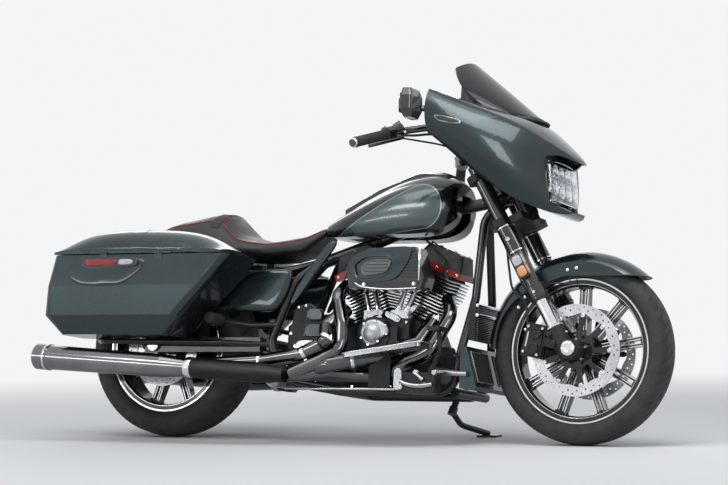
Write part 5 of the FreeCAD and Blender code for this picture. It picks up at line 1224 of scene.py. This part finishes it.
clear_lens.piece("turn_lamps_clear", lens_clear, "steering", 50)
amber_lens.piece("turn_lamps_amber", amber, "steering", 50)

# Handlebar. Ribbed rubber grips with bright end weights, switch housings with their buttons,
# reservoirs, and hoses and looms that run down into the fairing.
dress(gloss_black, "handlebar", "hand_controls")
dress(moulded_black, "grips")
BAR_BEND = Vector((1015, 275, 1062))
GRIP_WAY = Vector((-0.4187, 0.8513, -0.3163))


def across(p, side):
    return Vector((p[0], p[1] * side, p[2]))


rubber, weights, switches, looms = Stock(), Stock(), Stock(), Stock()
for side in (-1, 1):
    bend, way = across(BAR_BEND, side), across(GRIP_WAY, side)
    rows = [(62, 13), (62, 20), (66, 20), (67, 17.4)]
    for k in range(17):
        at = 70 + 7.2 * k
        rows += [(at, 17.2), (at + 1, 18.2), (at + 4.4, 18.2), (at + 5.4, 17.2)]
    rubber.turn(rows + [(193, 17.4), (195, 19), (200, 19), (201, 13)], bend, way, 32)
    weights.turn([(200, 17), (205, 17.6), (207, 17.2), (208, 15), (208, 6), (206, 5)], bend, way, 32)
    weights.turn(box(60.5, 13, 62, 20.5), bend, way, 32, ring=True)
    back = Vector((-0.75, 0, 0.65))
    back = (back - way * back.dot(way)).normalized()
    over = way.cross(back).normalized()
    for shift, lift, radius in ((30, 0, 5.5), (44, 7, 4.4), (44, -7, 4.4), (54, 0, 4)):
        button = [(25, radius + 1.5), (27.4, radius + 1.5), (27.4, radius), (30, radius), (30.6, radius - 1)]
        switches.turn(button, bend + way * shift + over * lift, back, 14)
    pot = bend + way * 30 + Vector((34, -6 * side, 30))
    stem = bend + way * 30 + Vector((10, 0, 14))
    weights.turn([(-1, 17.5), (1, 17.5), (2, 16.4), (2, 4)], pot, pot - stem, 28)
    weights.bolt(bend + way * 36 + Vector((52, -6 * side, 2)), UP, 6, 5)
    # columns: how far out it starts, how far ahead and below, its radius, its sides, its other points
    for shift, drop, radius, steps, points in (
            (24, (12, 0, -10), 4.4, 10,
             ((1062, 252, 1050), (1130, 196, 1056), (1196, 128, 1000), (1236, 96, 984))),
            (40, (26, 0, -14), 3.4, 8,
             ((1078, 262, 1030), (1140, 190, 1024), (1200, 150, 1004), (1236, 140, 1000)))):
        looms.bend([bend + way * shift + Vector(drop)] + [across(p, side) for p in points], radius, steps)
rubber_black = Finish("rubber_black")
rubber_black.worn((0.014, 0.014, 0.014), (0.024, 0.024, 0.023), 30, (0.6, 0.8), 1500, 0.5, 0.0005)
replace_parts(rubber.piece("grip_rubbers", rubber_black, "steering", 40), "grips")
weights.piece("bar_brights", polished, "steering", 40)
switches.piece("switch_buttons", moulded_black, "steering", 40)
looms.piece("bar_looms", moulded_black, "steering", 60)

# Bar clamps. Two cast caps, painted gloss black, hold the handlebar down on the upper yoke, each
# by two socket bolts.
clamps = Stock()
for side in (-1, 1):
    for x in (1189, 1217):
        clamps.bolt((x, 22 * side, 1024), UP, 5, 5)
    clamps.pillow(eased(box(1184, 10 * side, 1222, 33 * side)), [(1012, 0), (1022, 0), (1025, 3)], lying())
clamps.piece("bar_clamps", gloss_black, "steering", 40)

# Dash. Two dials, a screen with its row of keys and a pair of speakers are let into the fairing's
# moulded inner panel.
dress(moulded_black, "fairing_inner")
DASH_X, REAR = 1226, Vector((-1, 0, 0))
REARWARD = Matrix(((0, -1, 0, DASH_X), (1, 0, 0, 0), (0, 0, 1, 0), (0, 0, 0, 1)))


def hand(centre, angle, near, far, proud):
    """The two ends of a straight bar on a round face, between two distances from its centre."""
    ray = Vector((0, math.cos(angle), math.sin(angle)))
    return [Vector(centre) + ray * reach + REAR * off for reach, off in zip((near, far), proud)]


rings, cones, faces = Stock(), Stock(), Stock()
for side in (-1, 1):
    speaker = (DASH_X, 215 * side, 1085)
    rings.turn([(-1, 64), (4, 64), (7, 60), (4, 56), (-1, 56)], speaker, REAR, 56, ring=True)
    cones.turn([(0, 57), (1, 57), (1, 2)], speaker, REAR, 48)
    for k in range(7):
        cones.turn(box(1, 8 + 7 * k, 4 - 0.3 * k, 11 + 7 * k), speaker, REAR, 48, ring=True)
    for k in range(12):
        cones.bend(hand(speaker, math.pi * k / 6, 8, 56, (3.4, 2.4)), 1, 6, 1)
    dial = (DASH_X, 62 * side, 1140)
    rings.turn([(-1, 44), (7, 44), (9, 42), (7, 39), (-1, 39)], dial, REAR, 56, ring=True)
    faces.turn([(0, 39.5), (2, 39.5), (2, 1)], dial, REAR, 48)
    for k in range(21):
        near = 29 if k % 4 == 0 else 32
        rings.bend(hand(dial, math.radians(-40 + 13 * k), near, 36, (2.4, 2.4)), 0.8, 5, 1)
    rings.bend(hand(dial, math.radians(200), 0, 27, (3.4, 3.4)), [1.8, 0.8], 6, 1)
    rings.turn([(1, 4), (4, 4), (4.6, 3)], dial, REAR, 16)
rings.piece("dash_rings", polished, "steering", 50)
cones.piece("speaker_grilles", moulded_black, "steering", 50)
faces.piece("dial_faces", gloss_black, "steering", 50)
screen = Stock()
screen.pillow(eased(box(-86, 1012, 86, 1110)), [(-1, 0), (6, 0), (8, 2), (8, 8)], REARWARD)
screen.pillow(eased(box(-74, 1022, 74, 1102)), [(7, 0), (8.8, 0), (8.9, 4)], REARWARD)
for k in range(5):
    screen.pillow(eased(box(-50 + 22 * k, 1015, -38 + 22 * k, 1019)), [(7, 0), (9.4, 0)], REARWARD)
screen.piece("dash_screen", gloss_black, "steering", 40)

# Mirrors. Silvered glass with a bevelled edge, set in gloss black moulded shells that stand on
# stalks from the fairing.
dress(gloss_black, "mirrors")
glass_plate = Stock()
for side in (-1, 1):
    face = Matrix(((0, -1, 0, 1104), (side, 0, 0, 0), (0, 0, 1, 0), (0, 0, 0, 1)))
    glass_plate.pillow(eased([(379, 1104), (384, 1092), (470, 1092), (474, 1104), (474, 1150), (466, 1164),
                              (390, 1164), (379, 1150)]), [(-2, 0), (0.8, 0), (1.6, 2), (1.6, 10)], face)
silvered = Finish("silvered", Metallic=1.0)
silvered.worn((0.82, 0.85, 0.87), (0.76, 0.79, 0.81), 12, (0.01, 0.07), 300, 0.01, 0.0001)
glass_plate.piece("mirror_glass", silvered, "steering", 40)

# Rider's boards. Cast boards hinged at the rear, with long ribbed rubber pads that three bolts hold
# down and a bright rim.
dress(engine_black, "board_mounts", "foot_controls")
board_alloy = Finish("board_alloy", Metallic=1.0)
board_alloy.worn((0.30, 0.31, 0.32), (0.20, 0.21, 0.22), 12, (0.2, 0.34), 600, 0.08, 0.0003)
dress(board_alloy, "board_right", "board_left")
soften(2, "board_right", "board_left", "board_mounts", "foot_controls")
BOARD_TILT = math.radians(-8.3)
for side, body in ((-1, "board_right"), (1, "board_left")):
    hinge = Matrix.Translation((861, 222 * side, 276)) @ Matrix.Rotation(BOARD_TILT, 4, "Y")
    plan = hinge @ Matrix(((1, 0, 0, 0), (0, 0, side, 0), (0, 1, 0, 0), (0, 0, 0, 1)))
    pad, rim = Stock(), Stock()
    pad.pillow(eased([(16, 20), (284, 24), (288, 104), (20, 112)]), [(7, 0), (10, 0), (11, 1)], plan)
    for k in range(6):
        b = 31 + 13.5 * k
        rib = eased([(26, b), (276, b + 2), (276, b + 8), (26, b + 7)])
        pad.pillow(rib, [(10, 0), (13, 0), (14, 1)], plan)
    for a in (40, 150, 262):
        rim.bolt(hinge @ Vector((a, 66 * side, 11)), hinge.to_3x3() @ UP, 6, 3)
    edge = [(2, 16), (150, 15), (292, 18), (296, 60), (292, 116), (150, 117), (4, 116), (1, 66), (2, 16)]
    rim.bend([plan @ Vector((a, 7.4, b)) for a, b in edge], 2.0, 8, 3)
    pad.piece(body + "_pad", rubber_black, body, 40)
    rim.piece(body + "_rim", polished, body, 50)

# Pedals. A forged silver brake pedal with its rod and link on the right; rubber sleeves on the
# shifter's toe peg on the left and on the passenger's pegs.
PEDAL_Y = -262
levers = Stock()
levers.bend([(1150, -200, 232), (1272, -200, 226)], 10, 16, 1)
levers.bend([(587, -228, 168), (800, -228, 169), (1016, -228, 169)], 5, 10, 2)
for x, z in ((1042, 218), (1051, 175), (1142, 183), (1109, 226), (1177, 226)):
    levers.turn([(-4, 10), (3, 10), (5, 8), (5, 3)], (x, PEDAL_Y, z), RIGHT, 20)
levers.pillow(eased([(1026, 166), (1026, 232), (1040, 244), (1056, 238), (1060, 176), (1046, 162)]),
              [(-258, 0), (-264, 0), (-266, 2)])
levers.bend([(1050, -262, 196), (1084, -263, 184), (1126, -263, 180), (1172, -262, 186)], [9, 10, 10, 8],
            14, 4)
levers.bend([(1110, -262, 222), (1138, -263, 200)], [7, 9], 12, 2)
levers.piece("pedal_brights", cast_silver, "root", 40)
pads = Stock()
pads.turn([(0, 12), (1, 14.5), (30, 14.5), (31, 13), (34, 13), (35, 14.5), (62, 14.5), (64, 12)],
          (1190, 262, 372), LEFT, 24)
for side in (-1, 1):
    rows = [(0, 14)]
    for k in range(7):
        rows += [(4 + 11 * k, 21), (11 + 11 * k, 21), (12 + 11 * k, 18.5), (14 + 11 * k, 18.5)]
    pads.turn(rows + [(82, 20), (86, 15)], (285, 182 * side, 418), LEFT * side, 28)
pads.piece("foot_rubbers", rubber_black, "root", 40)

# Chin. A moulded panel bolted across the frame's foot, with two windows of diamond mesh that let air
# through, each edged by a cast rim. A black plate behind each mesh is painted shade: it fills the window
# in place of the dark opening.
CHIN = Matrix(((0, 0.960, -0.278, 1283), (1, 0, 0, 0), (0, 0.278, 0.960, 253), (0, 0, 0, 1)))
LOW, HIGH, NEAR, FAR = -54, 54, 22, 168
MESH_STEPS = 20
mesh_bars, mesh_rims, shade_plates = Stock(), Stock(), Stock()
for side in (-1, 1):
    corners = box(side * NEAR, LOW, side * FAR, HIGH)
    # painted shade: a black plate right behind the mesh, standing in for the dark open window
    shade_plates.pillow(corners, [(-1, 0), (1, 0)], CHIN)
    for k in range(-8, 20):
        for slope in (1, -1):
            heights = [slope * (LOW + (HIGH - LOW) * t / MESH_STEPS) for t in range(MESH_STEPS + 1)]
            reaches = [NEAR + 13 * k + (HIGH - LOW) * t / MESH_STEPS for t in range(MESH_STEPS + 1)]
            spots = [CHIN @ Vector((side * a, 2, b)) for a, b in zip(reaches, heights) if NEAR <= a <= FAR]
            if len(spots) > 1:
                mesh_bars.bend([spots[0], spots[-1]], 1.3, 6, 1)
    mesh_rims.bend([CHIN @ Vector((a, 2, b)) for a, b in corners + corners[:1]], 2.4, 8, 1)
shade_plates.piece("chin_shade_plates", engine_black, "root", 40)
mesh_bars.piece("chin_mesh", moulded_black, "root", 60)
mesh_rims.piece("chin_rims", grey_cast, "root", 60)

# Oil cooler. Thin alloy fins between two black end tanks, ahead of the frame's downtubes, with two
# polished guard bars across it.
dress(engine_black, "oil_cooler")
fins = Stock()
for k in range(19):
    z = 354 + 6 * k
    fins.saw(box(1258, z, 1268, z + 1.4), -112, 112)
fins.piece("cooler_fins", grey_cast, "root", 30)
bars = Stock()
for z in (436, 470):
    bars.bend([(1270, -126, z), (1276, -60, z), (1277, 0, z), (1276, 60, z), (1270, 126, z)], 5.5, 12, 4)
bars.piece("cooler_bars", polished, "root", 60)

# Shocks. Chromed coil springs, wound of round wire, sit on the dampers: nine turns between a
# collar below and the top eye.
COIL_TURNS, TURN_STEPS = 9, 12
coils = Stock()
for side in (-1, 1):
    foot, way = Vector((34, 149 * side, 357.6)), Vector((0.28, -0.02 * side, 1)).normalized()
    lie = way.orthogonal().normalized()
    up = way.cross(lie)
    wound = []
    for k in range(COIL_TURNS * TURN_STEPS + 1):
        a = 2 * math.pi * k / TURN_STEPS
        along = 26 + 124 * k / (COIL_TURNS * TURN_STEPS)
        wound.append(foot + way * along + (lie * math.cos(a) + up * math.sin(a)) * 22)
    coils.bend(wound, 3.4, 8, 1)
coils.piece("shock_coils", polished, "root", 60)

# Saddlebags. Moulded and painted boxes, hung on the frame beside the wheel. Each has a marker lamp
# with a red and a clear lens, let into its outer side under a gloss black bezel.
dress(gloss_black, "bag_lamps")
lens_red = Finish("lens_red")
lens_red.worn((0.35, 0.008, 0.008), (0.22, 0.004, 0.004), 30, (0.1, 0.2), 300, 0.2, 0.0005)
bezels, markers, ends = Stock(), Stock(), Stock()
for side in (-1, 1):
    flank = Matrix.Diagonal((1, side, 1, 1))
    bezels.pillow(eased([(-170, 584), (58, 586), (66, 604), (60, 622), (-160, 622), (-174, 606)]),
                  [(396, 0), (410, 0), (412.4, 2), (412.4, 8)], flank)
    markers.pillow(eased([(-160, 592), (-26, 593), (-22, 615), (-156, 616)]),
                   [(411, 0), (413.4, 0), (415, 2.5)], flank)
    ends.pillow(eased([(-16, 593), (44, 595), (46, 612), (-12, 615)]),
                [(411, 0), (413.4, 0), (414.4, 2.5)], flank)
bezels.piece("marker_bezels", gloss_black, "root", 40)
markers.piece("marker_lenses", lens_red, "root", 40)
ends.piece("marker_ends", lens_clear, "root", 40)

# Shoulders and lid seams. A shoulder is pressed into each bag's upper flank round the lamp, and a
# black seam runs across each lid's crown and down its front edge.
shoulder_outline = eased([(-252, 612), (-240, 552), (-176, 518), (-14, 516), (50, 552), (90, 588),
                          (92, 622)])
for side, name in ((-1, "right"), (1, "left")):
    shoulder = on_flank(bpy.data.objects["saddlebag_" + name], shoulder_outline, side,
                        [(-1, 0), (0.3, 1.5), (1.6, 14), (2.1, 30), (2.2, 50)])
    shoulder.piece("bag_shoulder_" + name, body_paint, "root", 60)
    lid = bpy.data.objects["bag_lid_" + name]
    crown = skin(lid.data, STAND_BACK @ lid.matrix_world)
    above = [Vector((54, side * (398 - 8.8 * k), 900)) for k in range(25)]
    hits = [crown.ray_cast(spot, DOWN)[0] for spot in above]
    seam = Stock().bend([spot - Vector((0, 0, 0.4)) for spot in hits if spot], 1.3, 6, 1)
    seam.bend([(54 + 46 * k, side * 402.4, 652 - 3.0 * k) for k in range(8)], 1.2, 6, 1)
    seam.piece("lid_seam_" + name, moulded_black, "lid_" + name, 60)

# Rear closing panel. A band of red tail lamp with nine ribs wraps across its top under a black
# hood, and below it a blank plate is screwed to the bracket.
across_rear = Matrix(((0, 1, 0, 0), (1, 0, 0, 0), (0, 0, 1, 0), (0, 0, 0, 1)))
hood, lamp = Stock(), Stock()
hood.pillow(eased([(-146, 598), (146, 598), (138, 640), (-138, 640)]), [(-400, 0), (-421, 0), (-424, 3)],
            across_rear)
lamp.pillow(eased([(-136, 604), (136, 604), (130, 632), (-130, 632)]), [(-418, 0), (-427, 0), (-431, 4)],
            across_rear)
for k in range(9):
    lamp.pillow(eased(box(-116 + 26 * k, 610, -94 + 26 * k, 626)), [(-428, 0), (-432, 1), (-433, 4)],
                across_rear)
hood.piece("tail_hood", gloss_black, "root", 40)
lamp.piece("tail_lens", lens_red, "root", 40)
plate = Stock()
blank = [(-90, 451), (-85, 446), (85, 446), (90, 451), (90, 547), (85, 552), (-85, 552), (-90, 547)]
plate.pillow(blank, [(-476, 0), (-478, 0), (-478.2, 0.6)], across_rear)
plate_white = Finish("plate_white")
plate_white.worn((0.55, 0.56, 0.56), (0.47, 0.48, 0.48), 30, (0.4, 0.55), 900, 0.1, 0.0002)
plate.piece("plate_blank", plate_white, "root", 40)
screws = Stock()
for y in (-73, 73):
    screws.bolt((-477.4, y, 538), (-1, 0, 0), 6, 0.8)
screws.piece("plate_screws", polished, "root", 40)
